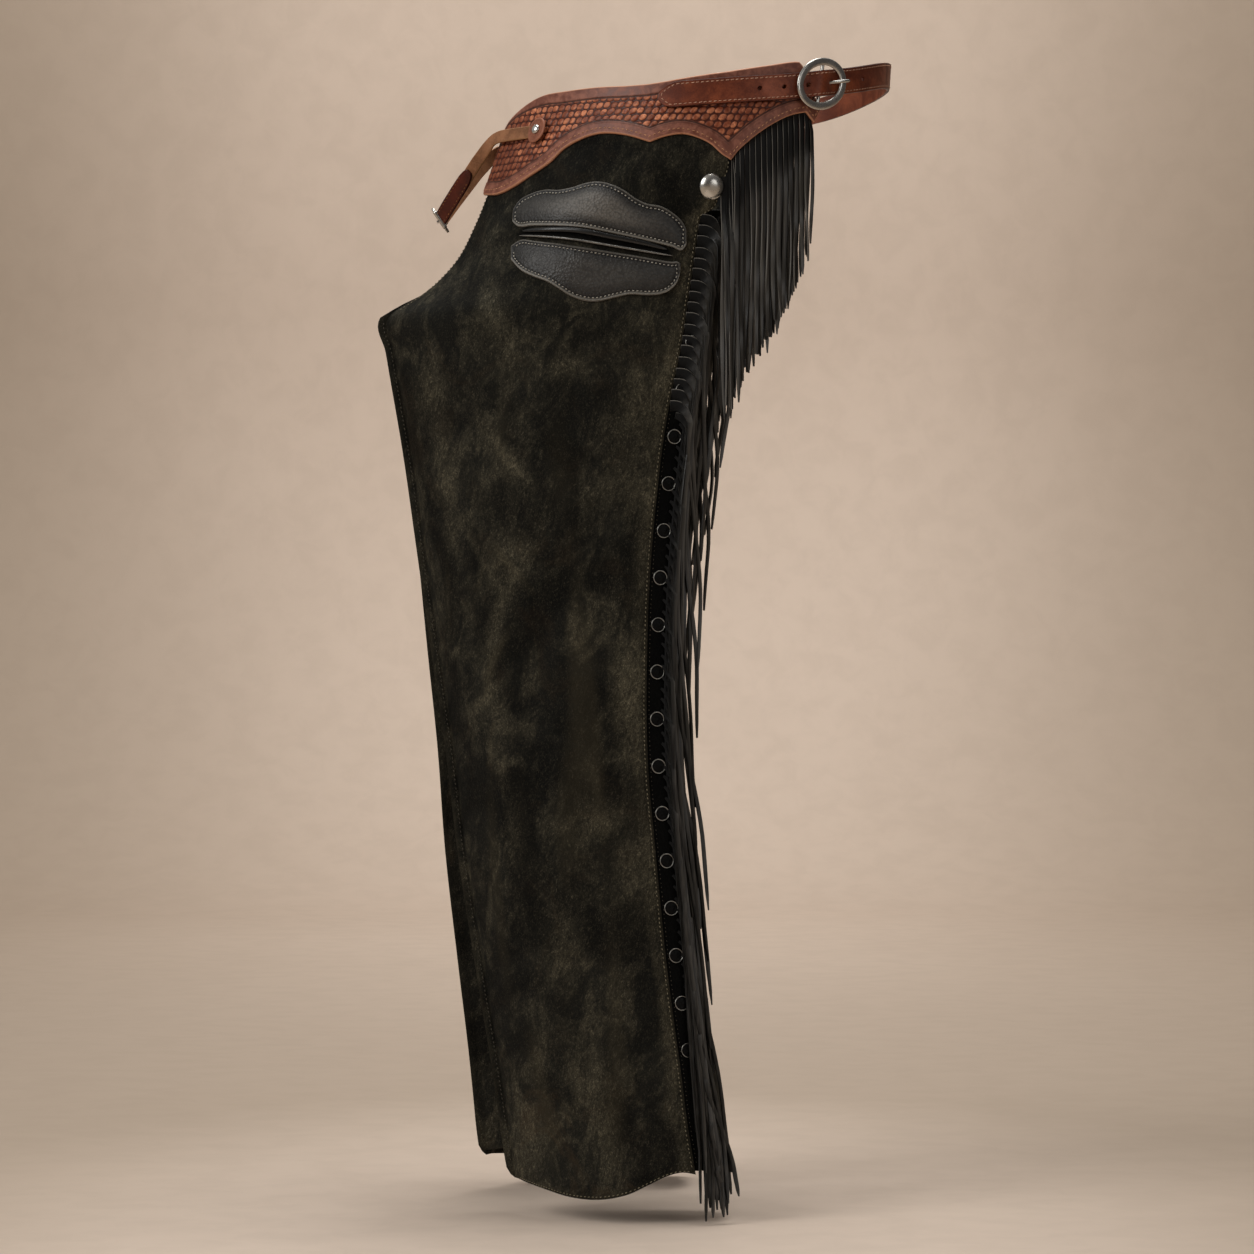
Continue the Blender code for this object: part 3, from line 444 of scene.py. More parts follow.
Thread = namedtuple("Thread", "long thick pitch sink")
SEAM_THREAD = Thread(1.9, 0.42, 3.9, 0.05)
EDGE_THREAD = Thread(2.7, 0.46, 4.4, 0.08)
PATCH_THREAD = Thread(1.9, 0.52, 3.6, 0.0)
BELT_THREAD = Thread(3.4, 0.46, 4.4, 0.05)
FINE_THREAD = Thread(1.3, 0.32, 3.9, 0.0)
EDGE_INSET = 3.4
INSEAM_INSET = 5.3
HEM_INSET = 3.4
BELT_STITCH = 2.6


# The rings of one stitch: places along it, sizes and lifts
Bead = namedtuple("Bead", "place size lift")
BEADS = (
    Bead(-0.5, 0.35, -0.6), Bead(-0.34, 0.95, 0.1), Bead(0.0, 1.0, 0.35),
    Bead(0.34, 0.95, 0.1), Bead(0.5, 0.35, -0.6),
)
BEAD_SIDES = 6
STITCH_SLANT = 0.12


def stitches(name, line, out, thread, look, side=0):
    """Thread along a line of points, as small sunk capsules."""
    run = run_along(line)
    at = np.arange(thread.pitch, run[-1] - thread.pitch * 0.5, thread.pitch)
    at = at + 0.25 * wobble(np.arange(len(at)), 2)
    spot = sampled(at, run, line)
    normal = unit(sampled(at, run, out))
    ahead = unit(sampled(at + 0.5, run, line) - spot)
    across = np.cross(normal, ahead)
    ahead = unit(ahead + across * (STITCH_SLANT + 0.05 * wobble(np.arange(len(at)), 7))[:, None])
    turn = circle(BEAD_SIDES)[:, None]
    spoke = across[:, None] * np.cos(turn) + normal[:, None] * np.sin(turn)
    points = []
    for bead in BEADS:
        middle = spot + ahead * (bead.place * thread.long) + normal * (bead.lift * thread.thick - thread.sink)
        points.append(middle[:, None] + spoke * (bead.size * thread.thick))
    points = np.stack(points, axis=1)
    index = np.arange(points[..., 0].size).reshape(points.shape[:3])
    faces = walls(index).tolist() + index[:, 0, ::-1].tolist() + index[:, -1].tolist()
    return make(name, points.reshape(-1, 3), faces, look, side, sharp=80)


def paint(red, green, blue, alpha=1.0):
    """A colour named by its screen values, 0 to 255."""
    def linear(c):
        c = c / 255
        return c / 12.92 if c <= 0.04045 else ((c + 0.055) / 1.055) ** 2.4
    return (linear(red), linear(green), linear(blue), alpha)


def add_node(tree, kind, inputs, **settings):
    """The outputs of a new node, with its settings made and its inputs set or linked."""
    node = tree.nodes.new(kind)
    for key, value in settings.items():
        setattr(node, key, value)
    for key, value in inputs.items():
        if isinstance(value, bpy.types.NodeSocket):
            tree.links.new(value, node.inputs[key])
        else:
            node.inputs[key].default_value = value
    return node.outputs


class Look:
    """The node tree of one material, built step by step."""

    def __init__(self, name, roughness=0.5, metallic=0.0, specular=0.5):
        self.material = bpy.data.materials.new(name)
        self.material.use_nodes = True
        self.tree = self.material.node_tree
        self.shader = self.tree.nodes["Principled BSDF"]
        self.shader.inputs["Roughness"].default_value = roughness
        self.shader.inputs["Metallic"].default_value = metallic
        self.shader.inputs["Specular IOR Level"].default_value = specular
        self.place = self.add("ShaderNodeTexCoord")["Object"]

    def add(self, kind, inputs=None, **settings):
        return add_node(self.tree, kind, inputs or {}, **settings)

    def vectors(self, operation, a, b=(0, 0, 0)):
        return self.add("ShaderNodeVectorMath", {0: a, 1: b}, operation=operation)

    def stretched(self, x, y, z):
        return self.add("ShaderNodeMapping", {"Vector": self.place, "Scale": (x, y, z)})["Vector"]

    def turned(self, angle, scale):
        """Coordinates turned about the X axis, then scaled, so that what they
        colour runs leaning up the side of a leg."""
        inputs = {"Vector": self.place, "Rotation": (angle, 0, 0), "Scale": [1 / value for value in scale]}
        return self.add("ShaderNodeMapping", inputs, vector_type="TEXTURE")["Vector"]

    def distance(self, centre, scale):
        """Distance from a place, with each axis scaled."""
        away = self.vectors("SUBTRACT", self.place, centre)["Vector"]
        return self.vectors("LENGTH", self.vectors("MULTIPLY", away, scale)["Vector"])["Value"]

    def noise(self, scale, detail=3.0, rough=0.55, distort=0.0, place=None):
        inputs = {"Vector": place or self.place, "Scale": scale, "Detail": detail, "Roughness": rough,
                  "Distortion": distort}
        return self.add("ShaderNodeTexNoise", inputs)["Fac"]

    def cells(self, scale):
        return self.add("ShaderNodeTexVoronoi", {"Vector": self.place, "Scale": scale})["Distance"]

    def sum(self, kind, a, b=0.0, clamp=False):
        return self.add("ShaderNodeMath", {0: a, 1: b}, operation=kind, use_clamp=clamp)["Value"]

    def times(self, a, b, clamp=False):
        return self.sum("MULTIPLY", a, b, clamp)

    def span(self, value, low, high, to_low=0.0, to_high=1.0):
        """A value's stretch from low to high, spread softly over another."""
        inputs = {"Value": value, "From Min": low, "From Max": high, "To Min": to_low, "To Max": to_high}
        return self.add("ShaderNodeMapRange", inputs, interpolation_type="SMOOTHSTEP")["Result"]

    def mix(self, share, a, b):
        return self.add("ShaderNodeMix", {"Factor": share, 6: a, 7: b}, data_type="RGBA")[2]

    def value(self, name):
        return self.add("ShaderNodeAttribute", attribute_name=name)["Fac"]

    def height(self):
        """How high a point stands, in metres."""
        return self.add("ShaderNodeSeparateXYZ", {0: self.place})["Z"]

    def between(self, share, dark, light):
        """Begin the colour with two paints, mixed by a share."""
        self.colour = self.mix(share, dark, light)

    def over(self, share, tone):
        """Lay one more paint over the colour."""
        self.colour = self.mix(share, self.colour, tone)

    def done(self, roughness=None, layers=()):
        """The material, once it has its colour, its roughness and fine relief in
        (height, strength, distance) layers."""
        self.tree.links.new(self.colour, self.shader.inputs["Base Color"])
        if roughness:
            self.tree.links.new(roughness, self.shader.inputs["Roughness"])
        normal = {}
        for height, strength, distance in layers:
            inputs = {"Strength": strength, "Distance": distance, "Height": height}
            normal = {"Normal": self.add("ShaderNodeBump", {**inputs, **normal})["Normal"]}
        if normal:
            self.tree.links.new(normal["Normal"], self.shader.inputs["Normal"])
        return self.material


def suede_look():
    look = Look("waxed_suede", roughness=0.85, specular=0.06)
    leaning = look.turned(-0.25, (1, 1.5, 0.85))
    broad = look.noise(9, 5, 0.6, 0.8)
    patchy = look.noise(30, 6, 0.66, 0.9, leaning)
    fluff = look.noise(150, 5, 0.75, 1.2, leaning)
    fibre = look.noise(420, 4, 0.72, 1.4, leaning)
    worn = look.times(look.span(broad, 0.34, 0.66, 0.1, 1.0), look.span(patchy, 0.38, 0.66, 0.05, 1.0))
    worn = look.sum("ADD", look.times(worn, 0.55), look.value("worn"))
    frayed = look.times(worn, look.span(fluff, 0.3, 0.7, 0.3, 1.35), clamp=True)
    look.between(look.span(broad, 0.35, 0.65), paint(15, 15, 13), paint(27, 27, 24))
    look.over(frayed, paint(80, 75, 61))
    low = look.span(look.height(), -0.74, -0.97, 0.08, 0.2)
    warm = look.times(look.span(look.noise(14, 5, 0.7, 1.0), 0.52, 0.72), low)
    look.over(warm, paint(88, 71, 50))
    lit = look.times(look.span(fibre, 0.5, 0.72), look.sum("ADD", frayed, 0.13))
    look.over(look.times(lit, 0.9, clamp=True), paint(132, 124, 104))
    look.over(look.span(fibre, 0.5, 0.3, 0, 0.45), paint(7, 7, 6))
    # Painted highlight on the crease ridges and painted shade in the crease troughs, following the crease
    # height
    look.over(look.span(look.value("fold"), 0.5, 1.8, 0, 0.16), paint(84, 76, 58))
    look.over(look.span(look.value("fold"), -0.3, -1.9, 0, 0.4), paint(7, 7, 6))
    look.over(look.value("rim"), paint(46, 43, 35))
    look.over(look.value("shade"), paint(4, 4, 4))
    layers = ((broad, 0.2, 0.004), (patchy, 0.25, 0.0012), (fluff, 0.35, 0.0006), (fibre, 0.4, 0.0003))
    return look.done(layers=layers)


def black_look(name, dark, light, roughness, specular, haze):
    """Smooth black leather with a fine pebbled grain, a broad painted highlight (sheen), painted shade in its
    sewn channel and lighter bevels that are a painted highlight.
    """
    look = Look(name, roughness=roughness, specular=specular)
    grain = look.cells(460)
    pebble = look.noise(420, 4, 0.65, 0.5)
    soft = look.noise(28, 3)
    look.between(look.span(soft, 0.38, 0.68), dark, light)
    look.over(look.span(pebble, 0.45, 0.7, 0, haze), paint(74, 72, 68))
    # A broad painted highlight over the middle of a patch
    look.over(look.times(look.value("sheen"), 0.75), paint(118, 113, 106))
    look.over(look.span(grain, 0.42, 0.75, 0, 0.4), dark)
    # Painted shade in the sewn channel
    look.over(look.value("channel"), paint(4, 4, 4))
    # Painted highlight along the bevelled edge and the lower lip
    look.over(look.value("rim"), paint(142, 137, 128))
    return look.done(look.span(soft, 0.35, 0.7, roughness + 0.06, roughness - 0.05),
                     ((soft, 0.12, 0.002), (grain, 0.8, 0.0005), (pebble, 0.6, 0.0003)))


def thong_look():
    """Thong leather: painted shade near the strands' roots, along one edge of each strand and lower down, and
    a painted highlight along the other edge.
    """
    look = Look("black_thong", roughness=0.34, specular=0.4)
    streak = look.noise(80, 3, place=look.stretched(7, 7, 0.2))
    fine = look.noise(500, 3)
    free = look.span(look.value("length"), 0.2, 0.42)
    look.between(look.value("tone"), paint(34, 33, 31), paint(88, 85, 80))
    look.over(look.span(streak, 0.42, 0.68, 0, 0.6), paint(108, 104, 97))
    # Painted shade over each strand near its root
    look.colour = look.mix(free, paint(5, 5, 5), look.colour)
    # Painted highlight along one edge of each strand, brighter near the root
    lip = look.mix(free, paint(168, 162, 152), paint(122, 117, 110))
    look.over(look.times(look.value("edge"), 0.65), lip)
    # Painted shade along the other edge of each strand, and painted shade lower down
    look.over(look.times(look.value("dusk"), 0.92), paint(3, 3, 3))
    look.over(look.span(look.height(), -0.32, -0.6, 0, 0.3), paint(4, 4, 4))
    shine = look.span(streak, 0.3, 0.7, 0.3, 0.46)
    return look.done(look.sum("MAXIMUM", shine, look.span(free, 0.0, 0.8, 0.9, 0.3)),
                     ((streak, 0.25, 0.0006), (fine, 0.3, 0.0002)))


def stamped_look():
    look = Look("stamped_saddle", roughness=0.42, specular=0.3)
    worn = look.noise(130, 4, 0.6, 0.5)
    fine = look.noise(700, 3)
    broad = look.noise(20, 3)
    look.between(look.span(worn, 0.35, 0.68), paint(128, 62, 38), paint(226, 144, 102))
    look.over(look.span(look.value("cell"), 0.7, 0.0, 0, 0.75), paint(96, 42, 22))
    look.over(look.span(broad, 0.42, 0.66, 0, 0.35), paint(120, 56, 30))
    look.over(look.span(look.value("stamp"), 0.62, 0.08), paint(70, 27, 13))
    border = look.mix(look.span(worn, 0.35, 0.7), paint(108, 62, 48), paint(146, 94, 76))
    look.over(look.value("border"), border)
    look.over(look.value("groove"), paint(26, 10, 6))
    look.over(look.value("rim"), paint(206, 146, 112))
    return look.done(look.span(worn, 0.3, 0.7, 0.36, 0.5), ((worn, 0.2, 0.0005), (fine, 0.3, 0.00015)))


def leather_look(name, dark, light, edge, roughness=0.42, specular=0.28):
    look = Look(name, roughness=roughness, specular=specular)
    broad = look.noise(45, 4, 0.6, 0.4)
    fine = look.noise(650, 3)
    pores = look.cells(900)
    look.between(look.span(broad, 0.35, 0.68), dark, light)
    look.over(look.span(fine, 0.4, 0.7, 0, 0.25), edge)
    look.over(look.value("rim"), edge)
    return look.done(look.span(broad, 0.3, 0.7, roughness + 0.08, roughness - 0.06),
                     ((broad, 0.25, 0.0006), (pores, 0.25, 0.0002), (fine, 0.25, 0.0001)))


def nickel_look(name, tone, roughness):
    look = Look(name, roughness=roughness, metallic=1.0)
    scuff = look.noise(90, 3, 0.6, 0.3)
    brush = look.noise(900, 2, place=look.stretched(1, 0.15, 1))
    dull = tuple(0.86 * c for c in tone[:3]) + (1,)
    look.between(look.span(scuff, 0.35, 0.7), tone, dull)
    return look.done(look.span(scuff, 0.3, 0.7, roughness - 0.04, roughness + 0.05),
                     ((scuff, 0.01, 0.0003), (brush, 0.03, 0.0001)))


def thread_look(name, dark, light):
    look = Look(name, roughness=0.75, specular=0.25)
    twist = look.noise(1500, 2)
    look.between(look.span(twist, 0.35, 0.7), dark, light)
    return look.done(layers=((twist, 0.5, 0.0002),))


SUEDE = suede_look()
PATCH = black_look("grained_black", paint(25, 24, 23), paint(46, 45, 43), 0.46, 0.42, 0.4)
PLACKET = black_look("placket_black", paint(5, 5, 5), paint(8, 8, 7), 0.6, 0.05, 0.03)
THONG = thong_look()
STAMPED = stamped_look()
BELT = leather_look("red_brown_belt", paint(96, 42, 22), paint(140, 72, 44), paint(48, 18, 10))
TAN = leather_look("light_tan", paint(108, 68, 42), paint(148, 100, 68), paint(176, 132, 94))
BILLET = leather_look("dark_billet", paint(62, 20, 10), paint(88, 34, 20), paint(36, 12, 8), 0.36)
NICKEL = nickel_look("brushed_nickel", (0.62, 0.60, 0.56, 1), 0.26)
CAP_BLACK = black_look("cap_black", paint(4, 4, 4), paint(7, 7, 7), 0.4, 0.1, 0.03)
BRIGHT_NICKEL = nickel_look("bright_nickel", (0.8, 0.79, 0.77, 1), 0.2)
BLACK_GLOSS = leather_look("glossy_black", paint(12, 12, 11), paint(26, 25, 24), paint(40, 39, 37), 0.3, 0.5)
# The lower welt's black piping, painted light grey as a painted highlight
PIPING_PAINTED_HIGHLIGHT = leather_look("piping_painted_highlight", paint(84, 82, 78), paint(120, 117, 111), paint(150, 146, 138),
                      0.22, 0.8)
TAB = leather_look("tab_leather", paint(112, 62, 44), paint(148, 92, 68), paint(176, 116, 88), 0.45)
DULL_THREAD = thread_look("dull_thread", paint(120, 117, 109), paint(200, 194, 182))
TAN_THREAD = thread_look("tan_thread", paint(140, 92, 50), paint(196, 140, 84))
PALE_THREAD = thread_look("pale_thread", paint(84, 78, 62), paint(150, 140, 116))
BELT_SEWING = thread_look("belt_sewing", paint(150, 104, 82), paint(206, 166, 140))
DIM_THREAD = thread_look("dim_thread", paint(50, 47, 40), paint(92, 86, 74))
YOKE_SEWING = thread_look("yoke_sewing", paint(140, 92, 64), paint(214, 162, 122))
DIM_NICKEL = nickel_look("dim_nickel", (0.36, 0.35, 0.32, 1), 0.32)


# The leg front
UPPER_FRONT = (-66, -95, -121, -144, -160, -172, -184, -193)
UPPER_REAR = (-48, -73, -88, -103, -111.5, -140, -168, -193)
HEM_START = -925.0
HEM_ROW = -955.0
TOP_BUMP = 34.0
PANEL_ROW = 4.0
PANEL_DOWN = 762.0
HEM_DOWN = 769.0
CORNER_RISE = (9.0, 3.0, 0.0)


def front_grid(down, across, offset):
    """Points of the front panel: down is a step 0 to 7 for its slanted rows, then
    7 and the millimetres below them; across runs 0 to 1 from nose to seam."""
    steps = np.arange(8)
    slanted = np.minimum(down, 7)
    below = np.maximum(down - 7, 0)
    front_z = np.interp(slanted, steps, UPPER_FRONT) - below
    rear_z = np.interp(slanted, steps, UPPER_REAR) - below
    crotch = angle_at(along(CROTCH_CURVE, "z", "y", front_z), front_z)
    start = np.where(front_z < UPPER_FRONT[-1], NOSE_START, np.maximum(crotch, NOSE_START))
    end = angle_at(rear_edge(rear_z), rear_z)
    angle = mix(start, end, across)
    bump = TOP_BUMP * (1 - slanted / 7) ** 2
    z = mix(front_z, rear_z, across) + bump * np.sin(math.pi * across) ** 0.7
    share = np.clip((HEM_START - z) / (HEM_START - HEM_ROW), 0, 1)
    hem = along(HEM, "y", "z", skin(angle, z)[..., 1])
    z = np.where(share > 0, HEM_START + share * (hem - HEM_START), z)
    return angle, z, lay(angle, z, offset)


def front_rows():
    return np.concatenate((np.linspace(0, 7, 42), 7 + np.arange(PANEL_ROW, PANEL_DOWN, PANEL_ROW)))


# Rubbed places of the suede as soft strokes, lighter where share is above zero and
# darker where it is below; lean is as in the creases
Stroke = namedtuple("Stroke", "y z lean long wide share")
RUBBED = (
    Stroke(-195, -191, 0.1, 26, 9, 0.45), Stroke(-178, -222, -0.2, 24, 9, 0.35),
    Stroke(-247, -262, 0.1, 20, 14, 0.40), Stroke(-127, -245, 0.9, 10, 18, 0.30),
    Stroke(-181, -320, -0.68, 27, 7, 0.50), Stroke(-78, -347, 0.3, 20, 20, 0.32),
    Stroke(-178, -408, 0.4, 15, 15, 0.40), Stroke(-204, -408, -0.56, 32, 3.5, 0.40),
    Stroke(-175, -436, 0.48, 24, 7, 0.42), Stroke(-190, -480, 0.2, 32, 5.5, 0.45),
    Stroke(-199, -535, 0.95, 15, 5, 0.50), Stroke(-75, -540, -0.13, 44, 9, 0.55),
    Stroke(-188, -590, -0.1, 22, 7, 0.42), Stroke(-170, -655, 0.0, 30, 8, 0.28),
    Stroke(-93, -642, 0.8, 14, 18, 0.34), Stroke(-70, -685, 0.0, 28, 13, 0.36),
    Stroke(-232, -330, -0.1, 40, 9, 0.25), Stroke(-128, -760, 0.1, 34, 14, 0.28),
    Stroke(-165, -945, 0.1, 26, 18, 0.42), Stroke(-98, -880, -0.1, 40, 14, 0.30),
    Stroke(-150, -850, 0.2, 26, 9, 0.25), Stroke(-120, -490, 0.3, 26, 12, 0.20),
    Stroke(-62, -280, 0.2, 36, 18, 0.40), Stroke(-245, -205, 0.1, 24, 20, -0.40),
    Stroke(-202, -625, 0.0, 42, 18, -0.35), Stroke(-130, -535, 0.1, 55, 24, -0.40),
    Stroke(-53, -800, 0.0, 34, 12, -0.25), Stroke(-130, -310, 0.2, 40, 24, -0.20),
    Stroke(-120, -65, 0.6, 14, 26, -0.20), Stroke(-185, -800, 0.0, 50, 16, -0.20),
)

# The rub beside the side seam, and the pocket's slit between its two welts
SEAM_RUB = 0.42
SEAM_RUB_AT = 7.0
SEAM_RUB_WAVE = 23.0
UPPER_WELT = (Edge(-122.3, -165), Edge(-123.6, -120), Edge(-129.6, -86), Edge(-136.1, -54), Edge(-140.6, -38))
LOWER_WELT = (Edge(-126.4, -168), Edge(-131.4, -123), Edge(-138.2, -82), Edge(-142.6, -56), Edge(-146.2, -33))
SLIT_SHADE = 5.0
SLIT_ENDS = (-172.0, -32.0)
SLIT_FADE = 6.0
FRONT_COLUMNS = 58
SUEDE_EDGE = 0.9
FLANGE_START = -166.0
FLANGE_FADE = 14.0
FLANGE_ROOT = 0.5


def rubbed(y, z):
    total = np.zeros(y.shape)
    for s in RUBBED:
        across = y - s.y - s.lean * (z - s.z)
        total = total + s.share * np.exp(-(across / s.wide) ** 2 - ((z - s.z) / s.long) ** 2)
    return total


def cornered(z, rise):
    """Heights of a flange's column, raised near the hem to round its corner."""
    return z + rise * np.clip((HEM_START - z) / (HEM_START - z[-1]), 0, 1) ** 2


def flange(cut_z, places, rises, thick):
    """Outer and inner columns of a seam flange; a thick below zero stands behind."""
    columns = []
    for y, rise in zip(places, rises):
        height = cornered(cut_z, rise)
        nose = along(SECTIONS, "z", "nose_x", height)
        columns.append(stack(nose + math.copysign(SEAM_GAP / 2, thick), y, height))
    inner = np.stack(columns, axis=1)
    return inner + (thick, 0, 0), inner


def leg_front(side, tag):
    down, across = np.broadcast_arrays(front_rows()[:, None], np.linspace(0, 1, FRONT_COLUMNS)[None, :])
    angle, z, outer = front_grid(down, across, 0.0)
    inner = front_grid(down, across, -FRONT_THICK)[2]
    cut_z = z[:, 0]
    front = along(SECTIONS, "z", "front", cut_z)
    share = ease((FLANGE_START - cut_z) / FLANGE_FADE)[:, None, None]
    crotch = along(CROTCH_CURVE, "z", "y", cut_z)
    root = front + FLANGE_ROOT
    tip = np.where(cut_z < UPPER_FRONT[-1], front - FLANGE, np.maximum(front - FLANGE, crotch))
    flange_out, flange_in = flange(cut_z, (tip, mix(tip, root, 0.5), root), CORNER_RISE, FRONT_THICK)
    outer = np.concatenate([mix(outer[:, :1], flange_out, share), outer], axis=1)
    inner = np.concatenate([mix(inner[:, :1], flange_in, share), inner], axis=1)
    fold = np.pad(crease(angle, z), ((0, 0), (3, 0)))
    distance = edge_distance(outer)
    outer = outer + unit(outer - inner) * rounded_edge(distance, SUEDE_EDGE)[..., None]
    y = outer[..., 1]
    z = np.pad(z, ((0, 0), (3, 0)), mode="edge")
    from_seam = rear_edge(z) - y
    strip = SEAM_RUB * bell(from_seam, SEAM_RUB_AT, SEAM_RUB_AT)
    strip = strip * (0.75 + 0.25 * np.sin(z / SEAM_RUB_WAVE))
    slit = 0.5 * (along(UPPER_WELT, "y", "z", y) + along(LOWER_WELT, "y", "z", y))
    shade = bell(z, slit, SLIT_SHADE)
    shade = shade * ease((y - SLIT_ENDS[0]) / SLIT_FADE) * ease((SLIT_ENDS[1] - y) / SLIT_FADE)
    values = {"fold": fold, "rim": np.clip(1 - distance / SUEDE_EDGE, 0, 1) * 0.5,
              "worn": rubbed(y, z) + strip, "shade": shade}
    piece = shell("look_leg_front_" + tag, outer, inner, SUEDE, side, values=values)
    fit(piece)


# The leg back
Back = namedtuple("Back", "column turn top offset")
BACK_FACE = -5.15
BACK_START = 9.0
BACK = (
    Back(0, -0.6, -118, BACK_FACE), Back(1, -0.34, -130, BACK_FACE), Back(2, -0.17, -158, BACK_FACE),
    Back(3, 0.0, -178, -4.6), Back(4, 0.25, -190, -2.8), Back(5, 0.55, -197, -1.0),
    Back(6, 1.0, -203, 0.0), Back(7, 1.6, -205, 0.0), Back(8, 2.3, -201, 0.0),
    Back(9, math.pi - NOSE_START, -194, 0.0),
)
BACK_TOP_ROW = -240.0
BACK_ROW = 5.5
BACK_DOWN = 713.0
BACK_TOP_ROWS = 14
BACK_COLUMNS = 76
# The hem of the back comes down by this much from a start, towards the inseam
HEM_DROP = 10.0
HEM_DROP_START = -840.0
HEM_DROP_LONG = 100.0
HEM_DROP_WIDE = 60.0


def leg_back(side, tag):
    column = np.linspace(0, BACK[-1].column, BACK_COLUMNS)
    top = along(BACK, "column", "top", column)
    upper = mix(top[None, :], BACK_TOP_ROW, np.linspace(0, 1, BACK_TOP_ROWS)[:, None])
    lower = BACK_TOP_ROW - np.arange(BACK_ROW, BACK_DOWN, BACK_ROW)
    z = np.concatenate([upper, np.broadcast_to(lower[:, None], (len(lower), BACK_COLUMNS))])
    turn = np.interp(column, range(len(BACK)), [row.turn for row in BACK])
    first = angle_at(seam(z) + BACK_START, z)
    second = math.pi + BACK[1].turn
    angle = np.where(column < 1, mix(first, second, column), math.pi + turn)
    offset = np.broadcast_to(along(BACK, "column", "offset", column), z.shape)
    from_front = skin(angle, z)[..., 1] - along(SECTIONS, "z", "front", z)
    drop = HEM_DROP * ease((HEM_DROP_START - z) / HEM_DROP_LONG)
    low = z - drop * np.clip((HEM_DROP_WIDE - from_front) / HEM_DROP_WIDE, 0, 1)
    outer = lay(angle, low, offset)
    inner = lay(angle, low, offset - BACK_THICK)
    cut_z = low[:, -1]
    front = along(SECTIONS, "z", "front", cut_z)
    places = (front + FLANGE_ROOT, front - FLANGE / 2, front - FLANGE)
    flange_out, flange_in = flange(cut_z, places, CORNER_RISE[::-1], -BACK_THICK)
    outer = np.concatenate([outer, flange_out], axis=1)
    inner = np.concatenate([inner, flange_in], axis=1)
    fold = np.pad(crease(angle, z), ((0, 0), (0, 3)))
    values = {"fold": fold, "rim": np.clip(1 - edge_distance(outer) / SUEDE_EDGE, 0, 1) * 0.4}
    piece = shell("look_leg_back_" + tag, outer, inner, SUEDE, side, values=values)
    fit(piece)


# The yoke
Rib = namedtuple("Rib", "low_y low_z top_y top_z")
YOKE = (
    Rib(-199.9, -84.5, -199.4, -80.5), Rib(-187.3, -86, -190.5, -54),
    Rib(-173, -81, -181.5, -27), Rib(-159.3, -73, -172.5, -14),
    Rib(-141.3, -62.1, -158, -3.5), Rib(-127.8, -49.8, -144, 2),
    Rib(-113.6, -42.3, -124, 3.6), Rib(-100, -38.3, -107, 4.6),
    Rib(-87, -38, -92, 5), Rib(-70.4, -40.9, -73, 4.8),
    Rib(-52.8, -46.7, -54, 5.6), Rib(-40, -42, -40, 7.6),
    Rib(-25, -39.6, -25, 10.2), Rib(-12.3, -42.3, -12, 12.4),
    Rib(0, -48, 0, 14.3), Rib(10, -56.7, 9, 15.6),
    Rib(18, -61.6, 17, 16.8), Rib(26, -51.9, 26, 18.4),
    Rib(40.8, -39, 40, 20.8), Rib(56, -28.5, 55, 23.4),
    Rib(70.5, -21.1, 66, 25.6), Rib(84, -17.5, 74, 26.8),
    Rib(91, -26, 78, 26.8), Rib(97, -14, 81, 23.5),
)
YOKE_CORNERS = (0, 10, 16, 21, 22, 23)
YOKE_STEP = 0.85
Spot = namedtuple("Spot", "at value")


def yoke_line(name, at):
    """A yoke edge's y or z at a place counted in ribs, smooth between its points."""
    value = np.zeros(np.shape(at))
    for first, last in zip(YOKE_CORNERS, YOKE_CORNERS[1:]):
        table = [Spot(k, getattr(YOKE[k], name)) for k in range(first, last + 1)]
        inside = (at >= first) & (at <= last)
        value = np.where(inside, along(table, "at", "value", at), value)
    return value


# The basket stamping: its cells' sizes along and down, and their lean
BASKET_ALONG = 7.0
BASKET_DOWN = 6.2
BASKET_SHIFT = -2.5
BASKET_LEAN = 0.3
BASKET_DEEP = 0.9
CELL_HALF = (3.1, 2.85)
CELL_POWER = 2.5
CELL_ROUND = 0.4
DIMPLE = (1.4, 1.1)
DIMPLE_DEEP = 0.3
# The plain borders: how wide they are, and the grooves beside the field
LOW_BORDER = 12.0
TOP_BORDER = 10.5
TOP_BORDER_END = -196.0
TOP_BORDER_FADE = 70.0
BORDER_LEVEL = -0.15
Groove = namedtuple("Groove", "at wide deep")
FIELD_GROOVE = Groove(0.1, 0.75, 0.75)
LOW_GROOVE = Groove(LOW_BORDER - 1.9, 0.45, 0.2)
YOKE_EDGE = 1.1
YOKE_ROWS = 92
YOKE_SEWING_RISE = 4.6
# Where the stamping's tone is more even, at the yoke's front and at its rear
Dim = namedtuple("Dim", "start reach share")
DIMS = (Dim(-145.0, -40.0, 0.9), Dim(5.0, 30.0, 0.4))


def basket(along_it, z):
    """Height 0 to 1 of the basket stamping at a place on the yoke, and the tone of
    its cell."""
    row = np.round(z / BASKET_DOWN)
    shift = row * BASKET_SHIFT + 0.7 * wobble(row, 3)
    cell = np.round((along_it + shift) / BASKET_ALONG)
    dz = z - row * BASKET_DOWN - 0.35 * wobble(cell + 3, row)
    dx = along_it + shift - cell * BASKET_ALONG - 0.35 * wobble(cell + 5, row)
    dx = dx - (BASKET_LEAN + 0.14 * wobble(cell + 1, row + 2)) * dz
    size = 1 + 0.08 * wobble(cell, row)
    away = [(np.abs(d) / (half * size)) ** CELL_POWER for d, half in zip((dx, dz), CELL_HALF)]
    pillow = ease((1.06 - (away[0] + away[1]) ** (1 / CELL_POWER)) / CELL_ROUND)
    dimple = DIMPLE_DEEP * bell(dx, 0, DIMPLE[0]) * bell(dz, 0, DIMPLE[1])
    level = np.clip(pillow - dimple, 0, 1) * (1 + 0.08 * wobble(cell + 7, row + 3))
    return level, 0.5 + 0.5 * wobble(cell + 2, row + 9)


